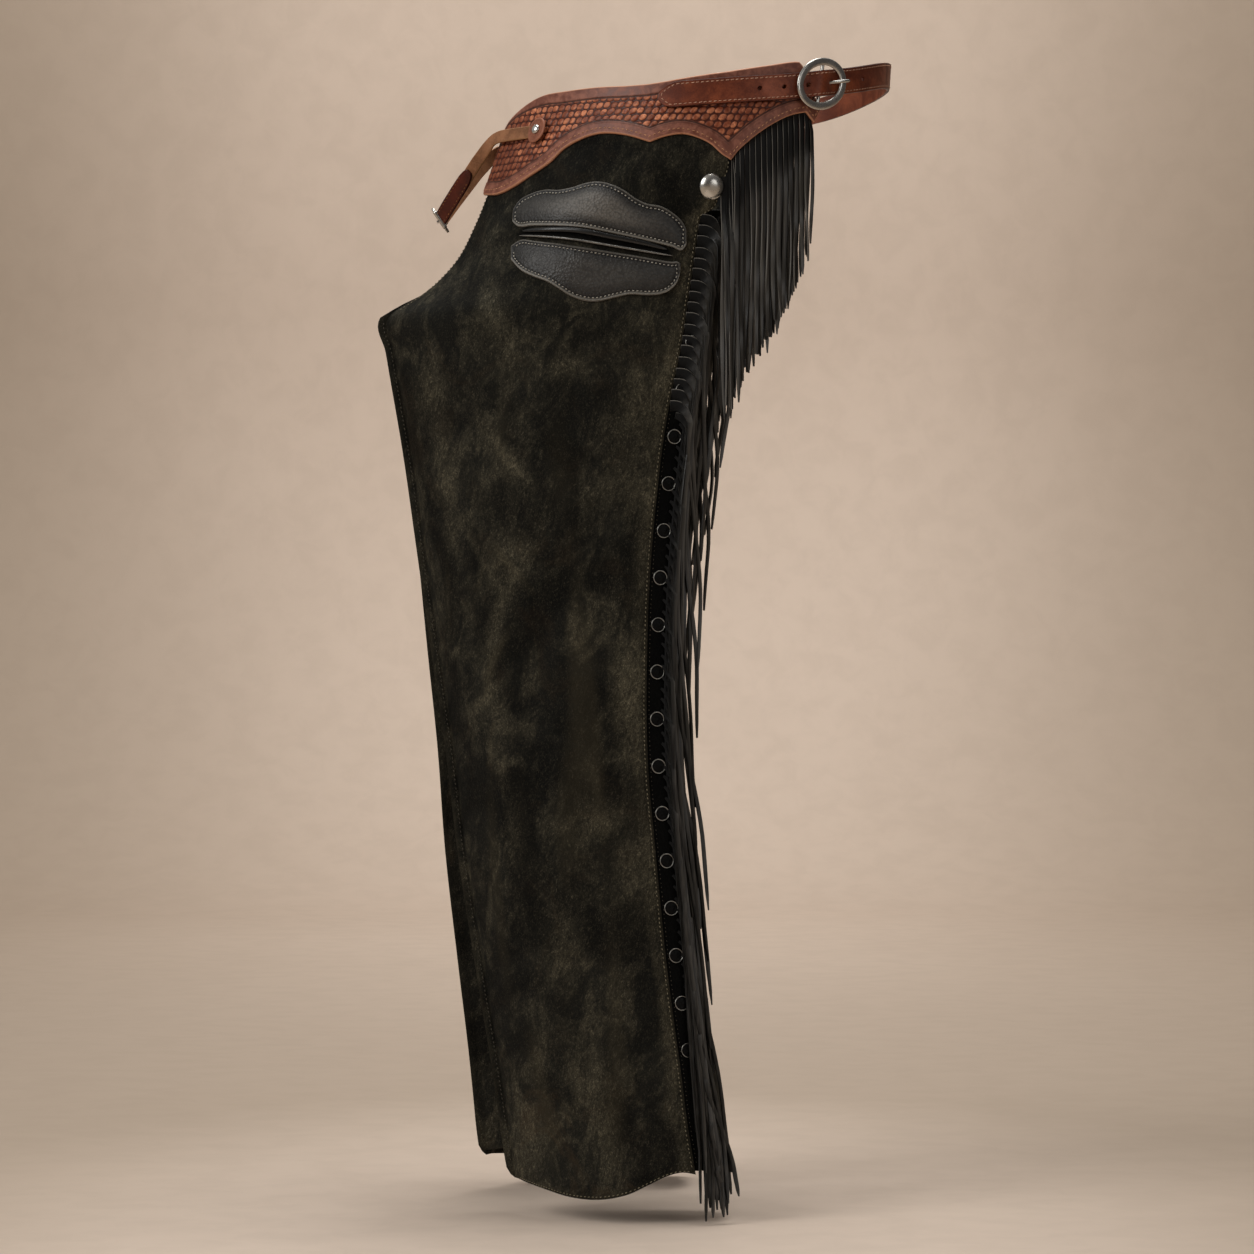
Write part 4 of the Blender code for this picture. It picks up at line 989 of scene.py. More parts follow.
def yoke(side, tag):
    lines = np.linspace(0, len(YOKE) - 1, 2400)
    middle = [0.5 * (yoke_line("low_" + way, lines) + yoke_line("top_" + way, lines)) for way in "yz"]
    run = run_along(on_skin(*middle, 0)[:, :2])
    at = np.interp(np.linspace(0, run[-1], int(run[-1] / YOKE_STEP)), run, lines)
    down = np.linspace(0, 1, YOKE_ROWS)[:, None]
    low_y = yoke_line("low_y", at)
    low_z = yoke_line("low_z", at)
    y = mix(yoke_line("top_y", at)[None], low_y[None], down)
    z = mix(yoke_line("top_z", at)[None], low_z[None], down)
    outer = on_skin(y, z, YOKE_REST + YOKE_THICK)
    inner = on_skin(y, z, YOKE_REST)
    step = np.linalg.norm(np.diff(outer[:, :, :2], axis=1), axis=2)
    arc = np.pad(np.cumsum(step, axis=1), ((0, 0), (1, 0)))
    from_low = distance_to(outer[-1], outer)
    from_top = down * (z[0] - z[-1])[None]
    distance = edge_distance(outer)
    top_band = TOP_BORDER * ease((y - TOP_BORDER_END) / TOP_BORDER_FADE)
    inside = np.minimum(from_low - LOW_BORDER, from_top - top_band)
    field = ease((inside - 0.4) / 1.2)
    groove = bell(inside, FIELD_GROOVE.at, FIELD_GROOVE.wide)
    second = bell(from_low, LOW_GROOVE.at, LOW_GROOVE.wide)
    relief, cell = basket(arc, z)
    dim = sum(d.share * ease((y - d.start) / d.reach) for d in DIMS)
    level = mix(BORDER_LEVEL, BASKET_DEEP * (relief - 1), field)
    level = level - FIELD_GROOVE.deep * groove - LOW_GROOVE.deep * second + rounded_edge(distance, YOKE_EDGE)
    outer = outer + unit(outer - inner) * level[..., None]
    values = {"stamp": relief, "cell": np.clip(cell * (1 - dim), 0, 1), "border": 1 - field,
              "groove": np.clip(0.9 * groove + 0.4 * second, 0, 1),
              "rim": np.clip(1.25 - distance / YOKE_EDGE, 0, 1)}
    piece = shell("look_yoke_" + tag, outer, inner, STAMPED, side, values=values, sharp=60)
    fit(piece)
    line = on_skin(low_y, low_z + YOKE_SEWING_RISE, YOKE_REST + YOKE_THICK - 0.15)
    out = unit(line - on_skin(low_y, low_z + YOKE_SEWING_RISE, 0))
    stitches("yoke_stitches_" + tag, line, out, EDGE_THREAD, YOKE_SEWING, side)


# Placket and fringes
PLACKET_FACE = -FRONT_THICK - 2 * GAP
PLACKET_TOP = -106.0
PLACKET_LOW = -948.0


def slab(name, y, z, high, low, look, side, plain=False):
    """A wall between two heights over the leg's skin. A plain one keeps the darkest tone."""
    outer = on_skin(y, z, high)
    values = {"tone": np.zeros(outer.shape[:2])} if plain else None
    return shell(name, outer, on_skin(y, z, low), look, side, values=values)


def placket(side, tag):
    z = np.linspace(PLACKET_TOP, PLACKET_LOW, 210)[:, None]
    y = seam(z) + np.linspace(-8, 21, 20)[None, :]
    piece = slab("look_placket_" + tag, y, z, PLACKET_FACE, PLACKET_FACE - PLACKET_THICK, PLACKET, side)
    fit(piece)


STRIP_FRONT = 16.0
STRIP_REAR = 19.0
STRIP_LOW = PLACKET_FACE + 2 * GAP
STRIP_HIGH = 1.0
SIDE_TOP = -114.0
SIDE_END = -936.0
SIDE_STRANDS = 86
BAND_END = -300.0
THONG_WIDE = 4.4
THONG_THICK = 1.5
LAYERS = 4
LAYER_FIRST = 1.2
LAYER_PITCH = 1.7
FAN_TURN = math.radians(33)
FAN_ALONG = np.array((-math.sin(FAN_TURN), math.cos(FAN_TURN), 0))
FAN_OUT = np.array((math.cos(FAN_TURN), math.sin(FAN_TURN), 0))
TURN_REACH = 1.0
SLOTS = 5
SLOT_STEP = 2
SLOT_SPREAD = 1.2
# How long the thongs are by the height of their root, and how low they may hang
THONG_SHORT = 190.0
THONG_LONG = 245.0
LONG_START = -120.0
LONG_REACH = 230.0
LOWEST = -990.0
# How far they swing back over their length, at the top, the middle and the hem
DRIFT = 0.062
TOP_DRIFT = 0.108
TOP_DRIFT_END = -350.0
HEM_DRIFT = 0.05
HEM_DRIFT_START = -740.0
HEM_DRIFT_REACH = 90.0
# Where they hang straight and leave the seam's curve
LOOSE = 1.2
LOOSE_START = -540.0
LOOSE_REACH = 140.0
SWAY = 1.2
TWIST = 0.45


def rolled(wide, out, tilt):
    """Width and outward directions, turned about a strand's run."""
    cos = np.cos(tilt)[..., None]
    sin = np.sin(tilt)[..., None]
    return wide * cos + out * sin, out * cos - wide * sin


def fan(z, reach, layer):
    """Points behind the seam, at a reach along the fringe and in one of its layers."""
    root = on_skin(seam(z) + STRIP_REAR, z, 0)
    spread = LAYER_FIRST + LAYER_PITCH * layer
    return root + FAN_ALONG * reach[..., None] + FAN_OUT * spread[..., None]


# How a thong leaves the seam before it hangs: as a flat band, or lower down from
# the placket's rear edge
Lead = namedtuple("Lead", "at behind drop offset half")
BAND_LEAD = (
    Lead(0, 0.5, 0.0, -1.5, 5.4), Lead(1, 4.6, 0.0, -1.3, 5.4), Lead(2, 8.4, 0.7, -0.7, 5.2),
    Lead(3, 11.6, 3.2, 0.5, 4.6), Lead(4, 13.6, 8.2, 1.5, 3.8), Lead(5, 15.0, 15.5, 2.1, 2.8),
)
FEATHER_LEAD = (
    Lead(0, 13.0, -4.0, -1.6, 1.0), Lead(1, 14.8, -2.4, -0.8, 1.5), Lead(2, 16.4, 0.2, 0.6, 1.9),
    Lead(3, 17.6, 3.6, 1.8, 2.1), Lead(4, 18.4, 7.8, 2.2, 2.2), Lead(5, 18.9, 12.5, 2.3, 2.2),
)
LEAD_SETTLE = 2.2
LEAD_STEPS = 14
HANG_STEPS = 18
SHINGLE = 0.26


def side_fringe(side, tag):
    """Thongs that leave the seam as flat bands at the top, and lower down from the
    placket's rear edge, turn down in their own plane and hang."""
    number = np.arange(SIDE_STRANDS)
    root_z = mix(SIDE_TOP, SIDE_END, number / (SIDE_STRANDS - 1.0)) + 0.8 * wobble(number, 11)
    layer = ((number * 3) % LAYERS).astype(float)[:, None]
    band = ease((root_z - BAND_END) / 25)[:, None]
    lead_at = np.linspace(0, BAND_LEAD[-1].at, LEAD_STEPS)

    def lead(name):
        return mix(along(FEATHER_LEAD, "at", name, lead_at), along(BAND_LEAD, "at", name, lead_at), band)

    settle = ease((lead_at - LEAD_SETTLE) / (BAND_LEAD[-1].at - LEAD_SETTLE))
    lead_z = root_z[:, None] - lead("drop")
    lead_y = seam(root_z)[:, None] + lead("behind")
    start = on_skin(lead_y, lead_z, lead("offset") + settle * LAYER_PITCH * layer)
    drift = DRIFT + TOP_DRIFT * np.clip((root_z - TOP_DRIFT_END) / LONG_REACH, 0, 1)
    drift = drift + 0.016 * wobble(number, 4) + HEM_DRIFT * ease((HEM_DRIFT_START - root_z) / HEM_DRIFT_REACH)
    full = mix(THONG_SHORT, THONG_LONG, np.clip((LONG_START - root_z) / LONG_REACH, 0, 1))
    full = full * (1 + 0.06 * wobble(number, 1))
    length = np.minimum(full, root_z - (LOWEST + 12 + 14 * wobble(number, 2)))
    share = (np.arange(1, HANG_STEPS + 1) / HANG_STEPS)[None, :]
    turned = lead_z[:, -1:]
    z = turned - share * (length[:, None] - (root_z[:, None] - turned))
    sway = SWAY * share * np.sin(share * 5 + 3 * wobble(number, 6)[:, None])
    slot = (number * SLOT_STEP % SLOTS) / (SLOTS - 1.0)
    spread = (SLOT_SPREAD * drift * length * slot)[:, None] * ease(share * 1.3)
    loose = LOOSE * ease((LOOSE_START - root_z) / LOOSE_REACH) * (0.5 + 0.5 * wobble(number, 21))
    straight = loose[:, None] * (seam(root_z)[:, None] - seam(z))
    falling = fan(z, TURN_REACH + spread + sway + straight, layer)
    first = fan(turned, TURN_REACH + 0 * turned, layer)
    falling = falling + (start[:, -1:] - first) * (1 - ease(share * 2.5))[..., None]
    centre = np.concatenate([start, falling], axis=1)
    lead_out = unit(on_skin(lead_y, lead_z, 6.0) - on_skin(lead_y, lead_z, 0.0))
    out = np.concatenate([lead_out, np.broadcast_to(FAN_OUT, falling.shape)], axis=1)
    twist = TWIST * share * np.sin(share * 4 + 4 * wobble(number, 8)[:, None])
    tilt = np.concatenate([SHINGLE * (1 - settle) * band, twist], axis=1)
    ahead = unit(np.gradient(centre, axis=1))
    wide = unit(np.cross(out, ahead))
    wide, out = rolled(wide, unit(np.cross(ahead, wide)), tilt)
    half = np.concatenate([lead("half"), np.full(z.shape, 0.9 * THONG_WIDE / 2)], axis=1)
    half = half * (1 + 0.1 * wobble(number, 9))[:, None]
    strands = ribbons("thongs", centre, wide, out, half, THONG_THICK / 2, THONG, side)
    z = np.linspace(SIDE_TOP + 3, SIDE_END - 3, 180)[:, None]
    y = seam(z) + np.linspace(STRIP_FRONT, STRIP_REAR, 3)[None, :]
    strip = slab("strip", y, z, STRIP_HIGH, STRIP_LOW, THONG, side, plain=True)
    fit(join("look_side_fringe_" + tag, [strands, strip]))


YOKE_STRANDS = 50
FRINGE_START = 11.0
FRINGE_STOP = 89.5
Drop = namedtuple("Drop", "y z")
YOKE_FRINGE_DROP = (
    Drop(5, -284), Drop(17, -277), Drop(41, -227), Drop(61, -201), Drop(75, -172), Drop(90, -135),
)
# The front thongs hang behind the side fringe's first bands, so they settle later
HIDDEN_END = 20.0
HIDDEN_DEEP = -3.4
HIDDEN_LIFT = 2.0
FRONT_LIFT = 7.0
FRONT_LIFT_END = 34.0
FRONT_LIFT_REACH = 22.0
LATE_END = 24.0
LATE_REACH = 6.0
LATE_FALL = 46.0
SETTLE_REACH = 16.0
LATE_SETTLE_REACH = 40.0
SLIM_START = 55.0
SLIM_REACH = 25.0
ROOT_DEEP = -1.35
YOKE_SWAY = 1.8
ROOT_HALF = 1.4


def yoke_fringe(side, tag):
    number = np.arange(YOKE_STRANDS)
    y = mix(FRINGE_START, FRINGE_STOP, number / (YOKE_STRANDS - 1.0))
    low = along(YOKE, "low_y", "low_z", y)
    hidden = y < HIDDEN_END
    root = on_skin(y, low + 1, np.where(hidden, HIDDEN_DEEP, ROOT_DEEP))
    ahead = on_skin(y - 1, low, 0) - on_skin(y + 1, low, 0)
    ahead[:, 2] = 0
    ahead = unit(ahead)
    out = np.stack([-ahead[:, 1], ahead[:, 0], 0 * y], axis=-1)
    out = out * np.where(out[:, :1] < 0, -1, 1)
    layer = (number * 2 % 3) * LAYER_PITCH + np.where(hidden, HIDDEN_LIFT, 0)
    layer = layer + FRONT_LIFT * ease((FRONT_LIFT_END - y) / FRONT_LIFT_REACH)
    end = along(YOKE_FRINGE_DROP, "y", "z", y) + 9 * wobble(number, 3)
    share = np.linspace(0, 1, 18)[None, :]
    top = (low + 5)[:, None]
    z = mix(top, end[:, None], share)
    late = ease((LATE_END - y) / LATE_REACH)[:, None]
    settle = ease((top - LATE_FALL * late - z) / mix(SETTLE_REACH, LATE_SETTLE_REACH, late))
    sway = YOKE_SWAY * share * np.sin(share * 6 + 3 * wobble(number, 5)[:, None])
    ahead = ahead[:, None]
    out = out[:, None]
    centre = stack(root[:, :1], root[:, 1:2], z)
    centre = centre + out * (settle * layer[:, None])[..., None] - ahead * sway[..., None]
    twist = share * np.sin(share * 5 + 4 * wobble(number, 8)[:, None])
    tangent = unit(np.gradient(centre, axis=1))
    face = unit(np.cross(tangent, rolled(ahead, out, twist)[0]))
    wide = np.cross(face, tangent)
    slim = 1 - 0.2 * ease((y - SLIM_START) / SLIM_REACH)
    half = mix(ROOT_HALF, THONG_WIDE / 2, settle) * (slim * (1 + 0.14 * wobble(number, 9)))[:, None]
    strands = ribbons("thongs", centre, wide, face, half, THONG_THICK / 2, THONG, side)
    places = np.linspace(19.5, 90.5, 80)[None, :]
    rise = np.linspace(6, 1, 4)[:, None]
    base = along(YOKE, "low_y", "low_z", places)
    strip = slab("strip", places, base + rise, -0.2, -2.7, THONG, side, plain=True)
    fit(join("look_yoke_fringe_" + tag, [strands, strip]))


EDGE_ROWS = 6.6
PLACKET_SEWING = 2.6


def sewing(name, surface, height, thread, look, side):
    """Thread along a line, which surface gives at any height over the leather."""
    line = surface(height)
    return stitches(name, line, surface(height + 1) - line, thread, look, side)


def panel_stitches(side, tag):
    """Sewing along the crotch curve, the inseam, the side seam and the hem."""
    below = np.arange(PANEL_ROW, PANEL_DOWN - PANEL_ROW, PANEL_ROW)
    down = np.concatenate((np.linspace(0.6, 7, 90), 7 + below))
    samples = front_grid(*np.broadcast_arrays(down[:, None], np.linspace(0, 1, 30)[None, :]), 0.0)[2]
    width = np.linalg.norm(np.diff(samples, axis=1), axis=2).sum(axis=1)
    pieces = []
    for share in (EDGE_INSET / width, 1 - EDGE_INSET / width):
        rows = down if share[0] > 0.5 else down[down < EDGE_ROWS]
        share = share[:len(rows)]
        pieces.append(sewing("edge", lambda high: front_grid(rows, share, high)[2], 0.0,
                             SEAM_THREAD, PALE_THREAD, side))
    z = np.arange(UPPER_FRONT[-1] - 2, HEM_ROW, -4.0)
    x = along(SECTIONS, "z", "nose_x", z) + GAP / 2 + FRONT_THICK
    line = stack(x, along(SECTIONS, "z", "front", z) - FLANGE + INSEAM_INSET, z)
    pieces.append(stitches("inseam", line, np.tile((1.0, 0, 0), (len(z), 1)), SEAM_THREAD, DIM_THREAD, side))
    across = np.linspace(0.03, 0.98, 90)
    hem = np.full(90, HEM_DOWN - HEM_INSET)
    pieces.append(sewing("hem", lambda high: front_grid(hem, across, high)[2], 0.0,
                         SEAM_THREAD, PALE_THREAD, side))
    z = np.arange(-113, PLACKET_LOW + 2, -4.0)
    pieces.append(sewing("placket", lambda high: on_skin(seam(z) + PLACKET_SEWING, z, high), PLACKET_FACE,
                         FINE_THREAD, DIM_THREAD, side))
    join("panel_stitches_" + tag, pieces)


# The pocket
Patch = namedtuple("Patch", "y top low")
UPPER_PATCH = (
    Patch(-173.7, -105, -113), Patch(-169, -96.4, -118), Patch(-156.6, -88.9, -118.6),
    Patch(-144.3, -86.3, -119.2), Patch(-132.8, -87.2, -119.9), Patch(-120.5, -85.4, -120.8),
    Patch(-108.2, -81.9, -122.3), Patch(-98.5, -81, -124.2), Patch(-86.2, -83.7, -126.7),
    Patch(-73.9, -89.8, -129.2), Patch(-65.1, -96, -131.1), Patch(-55.4, -100.4, -133.3),
    Patch(-43.1, -102.6, -136.2), Patch(-32.9, -108.3, -138.8), Patch(-24.6, -116.2, -141.3),
    Patch(-20.6, -124, -136),
)
LOWER_PATCH = (
    Patch(-174.9, -136, -148), Patch(-166.3, -130.7, -158.1), Patch(-154, -132, -164.9),
    Patch(-142.8, -133.8, -169.3), Patch(-132.9, -135.1, -175.4), Patch(-123.2, -136.9, -181.6),
    Patch(-110.8, -138.9, -185.9), Patch(-98.5, -140.8, -186.5), Patch(-82.2, -143.5, -182.8),
    Patch(-69.9, -145.4, -180.4), Patch(-55.4, -147.9, -181), Patch(-43.1, -150.1, -179.8),
    Patch(-34.3, -151.4, -175.4), Patch(-28.1, -151.4, -166.7), Patch(-26.1, -153, -158),
)
PATCH_STITCH = 3.4
PATCH_CHANNEL = 1.6
CHANNEL_DEEP = 0.55
PATCH_EDGE = 1.3
PATCH_PAD = 1.1
PAD_START = 3.6
PAD_REACH = 11.0
# Where the painted highlight on a patch is brightest, and how wide it spreads
SHEEN_Y = -98.0
SHEEN_WIDE = 42.0


def patch(name, table, sheen, side):
    """A pocket patch with a bevelled edge, a sewn channel and a padded middle."""
    y = np.linspace(table[0].y, table[-1].y, 124)[None, :]
    low = along(table, "y", "low", y)
    z = mix(along(table, "y", "top", y), low, np.linspace(0, 1, 46)[:, None])
    outer = on_skin(y, z, PATCH_REST + PATCH_THICK)
    inner = on_skin(y, z, PATCH_REST)
    distance = edge_distance(outer)
    channel = np.exp(-((distance - PATCH_STITCH) / PATCH_CHANNEL) ** 4)
    pad = PATCH_PAD * ease((distance - PAD_START) / PAD_REACH)
    level = rounded_edge(distance, PATCH_EDGE) - CHANNEL_DEEP * channel + pad
    outer = outer + unit(outer - inner) * level[..., None]
    # Painted highlight along the bevelled edge and the lower lip, and a broad painted highlight (sheen) over
    # the middle; the channel takes painted shade
    bevel = bell(distance, 0.5, 0.7)
    lip = bell(z - low, 1.7, 1.0)
    glow = bell(y, SHEEN_Y, SHEEN_WIDE) * ease((distance - 5) / 10)
    values = {"rim": np.clip(0.6 * bevel + 0.5 * lip, 0, 0.85), "channel": channel, "sheen": sheen * glow}
    panel = shell(name, outer, inner, PATCH, side, values=values)
    fit(panel)
    ys = np.linspace(table[0].y + PATCH_STITCH, table[-1].y - PATCH_STITCH, 90)
    upper, lower = (along(table, "y", edge, ys) for edge in ("top", "low"))
    upper = upper - PATCH_STITCH * np.hypot(1, np.gradient(upper, ys))
    lower = lower + PATCH_STITCH * np.hypot(1, np.gradient(lower, ys))
    loop_y = np.concatenate((ys, ys[::-1], ys[:1]))
    loop_z = np.concatenate((upper, lower[::-1], upper[:1]))
    line = on_skin(loop_y, loop_z, PATCH_REST + PATCH_THICK - 0.25)
    out = line - on_skin(loop_y, loop_z, 0)
    stitches(name + "_stitches", line, out, PATCH_THREAD, DULL_THREAD, side)


Lip = namedtuple("Lip", "high thick")
UPPER_LIP = Lip(2.3, 1.4)
LOWER_LIP = Lip(1.0, 1.4)
WELT_STATIONS = 90


def welt(name, line, lip, look, side):
    """The rolled lip of the slit, thinner towards its ends."""
    y = np.linspace(line[0].y, line[-1].y, WELT_STATIONS)
    z = along(line, "y", "z", y)
    share = np.linspace(0, 1, WELT_STATIONS)
    fill = np.sqrt(np.clip(1 - np.abs(2 * share - 1) ** 5, 0.02, 1))
    path = on_skin(y, z, PATCH_REST + lip.thick * fill)
    out = unit(on_skin(y, z, 5.0) - on_skin(y, z, 0))
    wide = np.cross(out, unit(np.gradient(path, axis=0)))
    piece = tube(name, path, wide, out, (lip.high * fill, lip.thick * fill), look, side, sides=14)
    fit(piece)


def pocket(side, tag):
    patch("look_pocket_upper_" + tag, UPPER_PATCH, 0.9, side)
    patch("look_pocket_lower_" + tag, LOWER_PATCH, 0.25, side)
    welt("look_welt_upper_" + tag, UPPER_WELT, UPPER_LIP, BLACK_GLOSS, side)
    welt("look_welt_lower_" + tag, LOWER_WELT, LOWER_LIP, PIPING_PAINTED_HIGHLIGHT, side)


# Studs
SNAP_FIRST = -305.0
SNAP_PITCH = 41.4
SNAPS = 12
SNAP_INSET = 9.3
EXTRA_SNAPS = (-222.0, -264.0, -802.0, -843.0)
SNAP_BASE = PLACKET_FACE + 2 * GAP
SNAP_RING = 6.1
RING_WIRE = 0.4
RING_RISE = 1.1
RING_STEPS = 48
CAP = ((5.0, 0), (5.6, 0.5), (5.5, 1.1), (4.9, 1.5), (4.2, 1.45), (3.6, 1.5), (2.2, 1.85), (0.6, 2.0))
STUD_SIDES = 56
CONCHO_Y = 0.8
CONCHO_Z = -85.0
CONCHO_STRETCH = 1.08
CONCHO = ((9.6, 0), (10.5, 0.3), (10.9, 0.9), (10.7, 1.6), (10.0, 2.5), (8.8, 3.6), (7.2, 4.6),
          (5.2, 5.35), (3.0, 5.75), (1.0, 5.85))
RIVET = ((3.9, 0), (4.3, 0.4), (4.4, 0.9), (4.0, 1.6), (3.1, 2.3), (1.9, 2.8), (0.6, 2.95))


def stud(name, y, z, offset, profile, look, side, stretch=1.0):
    base = on_skin(y, z, offset)
    axis = on_skin(y, z, offset + 1) - base
    return lathe(name, base, axis, profile, STUD_SIDES, look, side, stretch)


def snap(name, z, side):
    """A dark cap in a thin bright ring."""
    y = seam(z) + SNAP_INSET
    cap = stud(name, y, z, SNAP_BASE, CAP, CAP_BLACK, side)
    base = on_skin(y, z, SNAP_BASE + RING_RISE)
    axis = unit(on_skin(y, z, PLACKET_FACE + 3) - base)
    level = unit(np.cross(axis, (0, 0, 1)))
    rise = np.cross(level, axis)
    turn = circle(RING_STEPS)[:, None]
    spoke = level * np.cos(turn) + rise * np.sin(turn)
    ring = tube("ring", base + spoke * SNAP_RING, spoke, axis, (RING_WIRE, RING_WIRE), DIM_NICKEL, side,
                sides=8, closed=True)
    return join(name, [cap, ring])


def studs(side, tag):
    for k in range(SNAPS):
        fit(snap(f"look_snap_{tag}_{k + 1:02d}", SNAP_FIRST - SNAP_PITCH * k, side))
    join("more_snaps_" + tag, [snap("extra", z, side) for z in EXTRA_SNAPS])
    concho = stud("look_concho_" + tag, CONCHO_Y, CONCHO_Z, PATCH_REST, CONCHO, NICKEL, side, CONCHO_STRETCH)
    fit(concho)


# Belt strap and its buckle
BELT_HALF = 11.75
BELT_PLAN_Z = 8.0
BELT_TIP_Y = -42.0
BELT_END_Y = 36.0
BELT_REST = YOKE_REST + YOKE_THICK + 2 * GAP
BUCKLE_AT = 141.0
BELT_LIFT = 5.9
BELT_LIFT_REACH = 10.0
HOLE = 4.2
HOLES_AT = tuple(86.0 + 21.5 * k for k in range(6))
Rise = namedtuple("Rise", "at z")
BELT_TIP = (Rise(0, 2.2), Rise(2.5, 5.6), Rise(8, 9.8), Rise(15.5, BELT_HALF), Rise(24, BELT_HALF))
BELT_RISE = (
    Rise(0, -5.3), Rise(60, -0.5), Rise(120, 5.2), Rise(170, 12.5), Rise(240, 24),
    Rise(300, 27.6), Rise(360, 24), Rise(430, 12.5), Rise(480, 5.2), Rise(540, -0.5),
)


def ring_place(angle, z):
    """Points of the waist ring and its outward directions, on either half."""
    angle, z = np.broadcast_arrays(angle, z)
    near = np.minimum(np.where(angle < math.pi, angle, 2 * math.pi - angle), math.pi - 0.012)
    point = skin(near, z)
    ahead = skin(near + 0.01, z) - skin(near - 0.01, z)
    out = unit(stack(ahead[..., 1], -ahead[..., 0], 0.0))
    flip = np.where(angle > math.pi, -1.0, 1.0)
    point[..., 0] *= flip
    out[..., 0] *= flip
    return point, out


def belt_plan():
    start = angle_at(BELT_TIP_Y, BELT_PLAN_Z)
    stop = 2 * math.pi - angle_at(BELT_END_Y, BELT_PLAN_Z)
    angles = np.linspace(start, stop, 241)
    return run_along(ring_place(angles, BELT_PLAN_Z)[0]), angles


BELT_PLAN = belt_plan()
BELT_LONG = BELT_PLAN[0][-1]


def belt_point(run, offset, rise=0.0):
    """Points over the belt's middle line, or a rise above it."""
    run, offset, rise = np.broadcast_arrays(run, offset, rise)
    z = along(BELT_RISE, "at", "z", run) + rise
    point, out = ring_place(np.interp(run, *BELT_PLAN), z)
    return point + out * offset[..., None]


def belt_out(run):
    return unit(belt_point(run, 1.0) - belt_point(run, 0.0))


def belt_rest(run):
    return BELT_REST + BELT_LIFT * bell(run, BUCKLE_AT, BELT_LIFT_REACH)


HOLE_REACH = 6.3
HOLE_STEPS = np.array((-HOLE_REACH, -4.9, -3.5, -2.1, -1.05, 0.0, 1.05, 2.1, 3.5, 4.9, HOLE_REACH))
EDGE_STEPS = np.array((7.2, 8.1, 8.9, 9.6, 10.4, 11.2, BELT_HALF))
TIP_STEPS = np.array((0, 0.8, 1.8, 3.2, 5, 7, 9.5, 12.5, 15.5, 18.5))
BELT_STEP = 2.4
BELT_EDGE = 1.0
BELT_RIM = 1.3
BELT_CHANNEL = Groove(BELT_STITCH, 0.6, 0.3)
STITCH_START = 13.0
STITCH_TIP = 3.4


def belt_grid():
    """Runs and rises of the belt's points, drawn in round its holes, and its cells
    that the holes leave out."""
    runs = [TIP_STEPS]
    edges = [TIP_STEPS[-1]] + [at + way * HOLE_REACH for at in HOLES_AT for way in (-1, 1)] + [BELT_LONG]
    for first, last in zip(edges[::2], edges[1::2]):
        runs.append(np.linspace(first, last, max(3, int((last - first) / BELT_STEP)))[1:])
    runs += [at + HOLE_STEPS[1:] for at in HOLES_AT]
    run = np.unique(np.round(np.concatenate(runs), 4))
    rows = np.concatenate((-EDGE_STEPS[::-1], HOLE_STEPS, EDGE_STEPS))
    at = run[None, :] + 0 * rows[:, None]
    rise = rows[:, None] + 0 * at
    hollow = np.zeros((len(rows) - 1, len(run) - 1), bool)
    for centre in HOLES_AT:
        u = at - centre
        size = np.maximum(np.abs(u), np.abs(rise))
        inside = (size < HOLE_REACH + 0.01) & (size > HOLE / 2 - 0.01)
        away = np.maximum(np.hypot(u, rise), 1e-6)
        pull = mix(size / away, 1.0, np.clip((size - HOLE / 2) / HOLE, 0, 1))
        at = np.where(inside, centre + u * pull, at)
        rise = np.where(inside, rise * pull, rise)
        middle = np.abs(0.5 * (run[1:] + run[:-1]) - centre) < HOLE / 2
        hollow |= middle[None, :] & (np.abs(0.5 * (rows[1:] + rows[:-1])) < HOLE / 2)[:, None]
    return at, rise, hollow


def belt_strap():
    at, rise, hollow = belt_grid()
    edge = BELT_HALF - np.abs(rise)
    rise = rise * along(BELT_TIP, "at", "z", at) / BELT_HALF
    base = belt_rest(at)
    channel = bell(edge, BELT_CHANNEL.at, BELT_CHANNEL.wide)
    level = rounded_edge(np.minimum(edge, at + 0.2), BELT_EDGE) - BELT_CHANNEL.deep * channel
    outer = belt_point(at, base + BELT_THICK + level, rise)
    inner = belt_point(at, base, rise)
    rim = np.clip(1 - np.minimum(edge, at) / BELT_RIM, 0, 1)
    piece = shell("look_belt_strap", outer, inner, BELT, keep=~hollow, values={"rim": rim})
    fit(piece)
    run = np.linspace(STITCH_START, BELT_LONG - 3, 400)
    tip = np.linspace(1, -1, 40)
    rise = BELT_HALF - BELT_STITCH
    tip_run = STITCH_TIP + (STITCH_START - STITCH_TIP) * tip ** 2
    tip_rise = rise * tip * (1 - 0.1 * (1 - tip ** 2))
    line_run = np.concatenate((run[::-1], tip_run, run))
    line_rise = np.concatenate((np.full(400, rise), tip_rise, np.full(400, -rise)))
    line = belt_point(line_run, belt_rest(line_run) + BELT_THICK - 0.15, line_rise)
    stitches("belt_stitches", line, belt_out(line_run), BELT_THREAD, BELT_SEWING)


RING_WIDE = 23.0
RING_HIGH = 20.0
RING_RIM = 6.8
RING_THICK = 2.8
RING_AT = 8.8
BAR_RADIUS = 1.7
BAR_AT = 7.7
RING_SIDES = 20


def squared(turn, power):
    """A circle's steps across and up, squared off by a power below one."""
    return [np.sign(step) * np.abs(step) ** power for step in (np.cos(turn), np.sin(turn))]


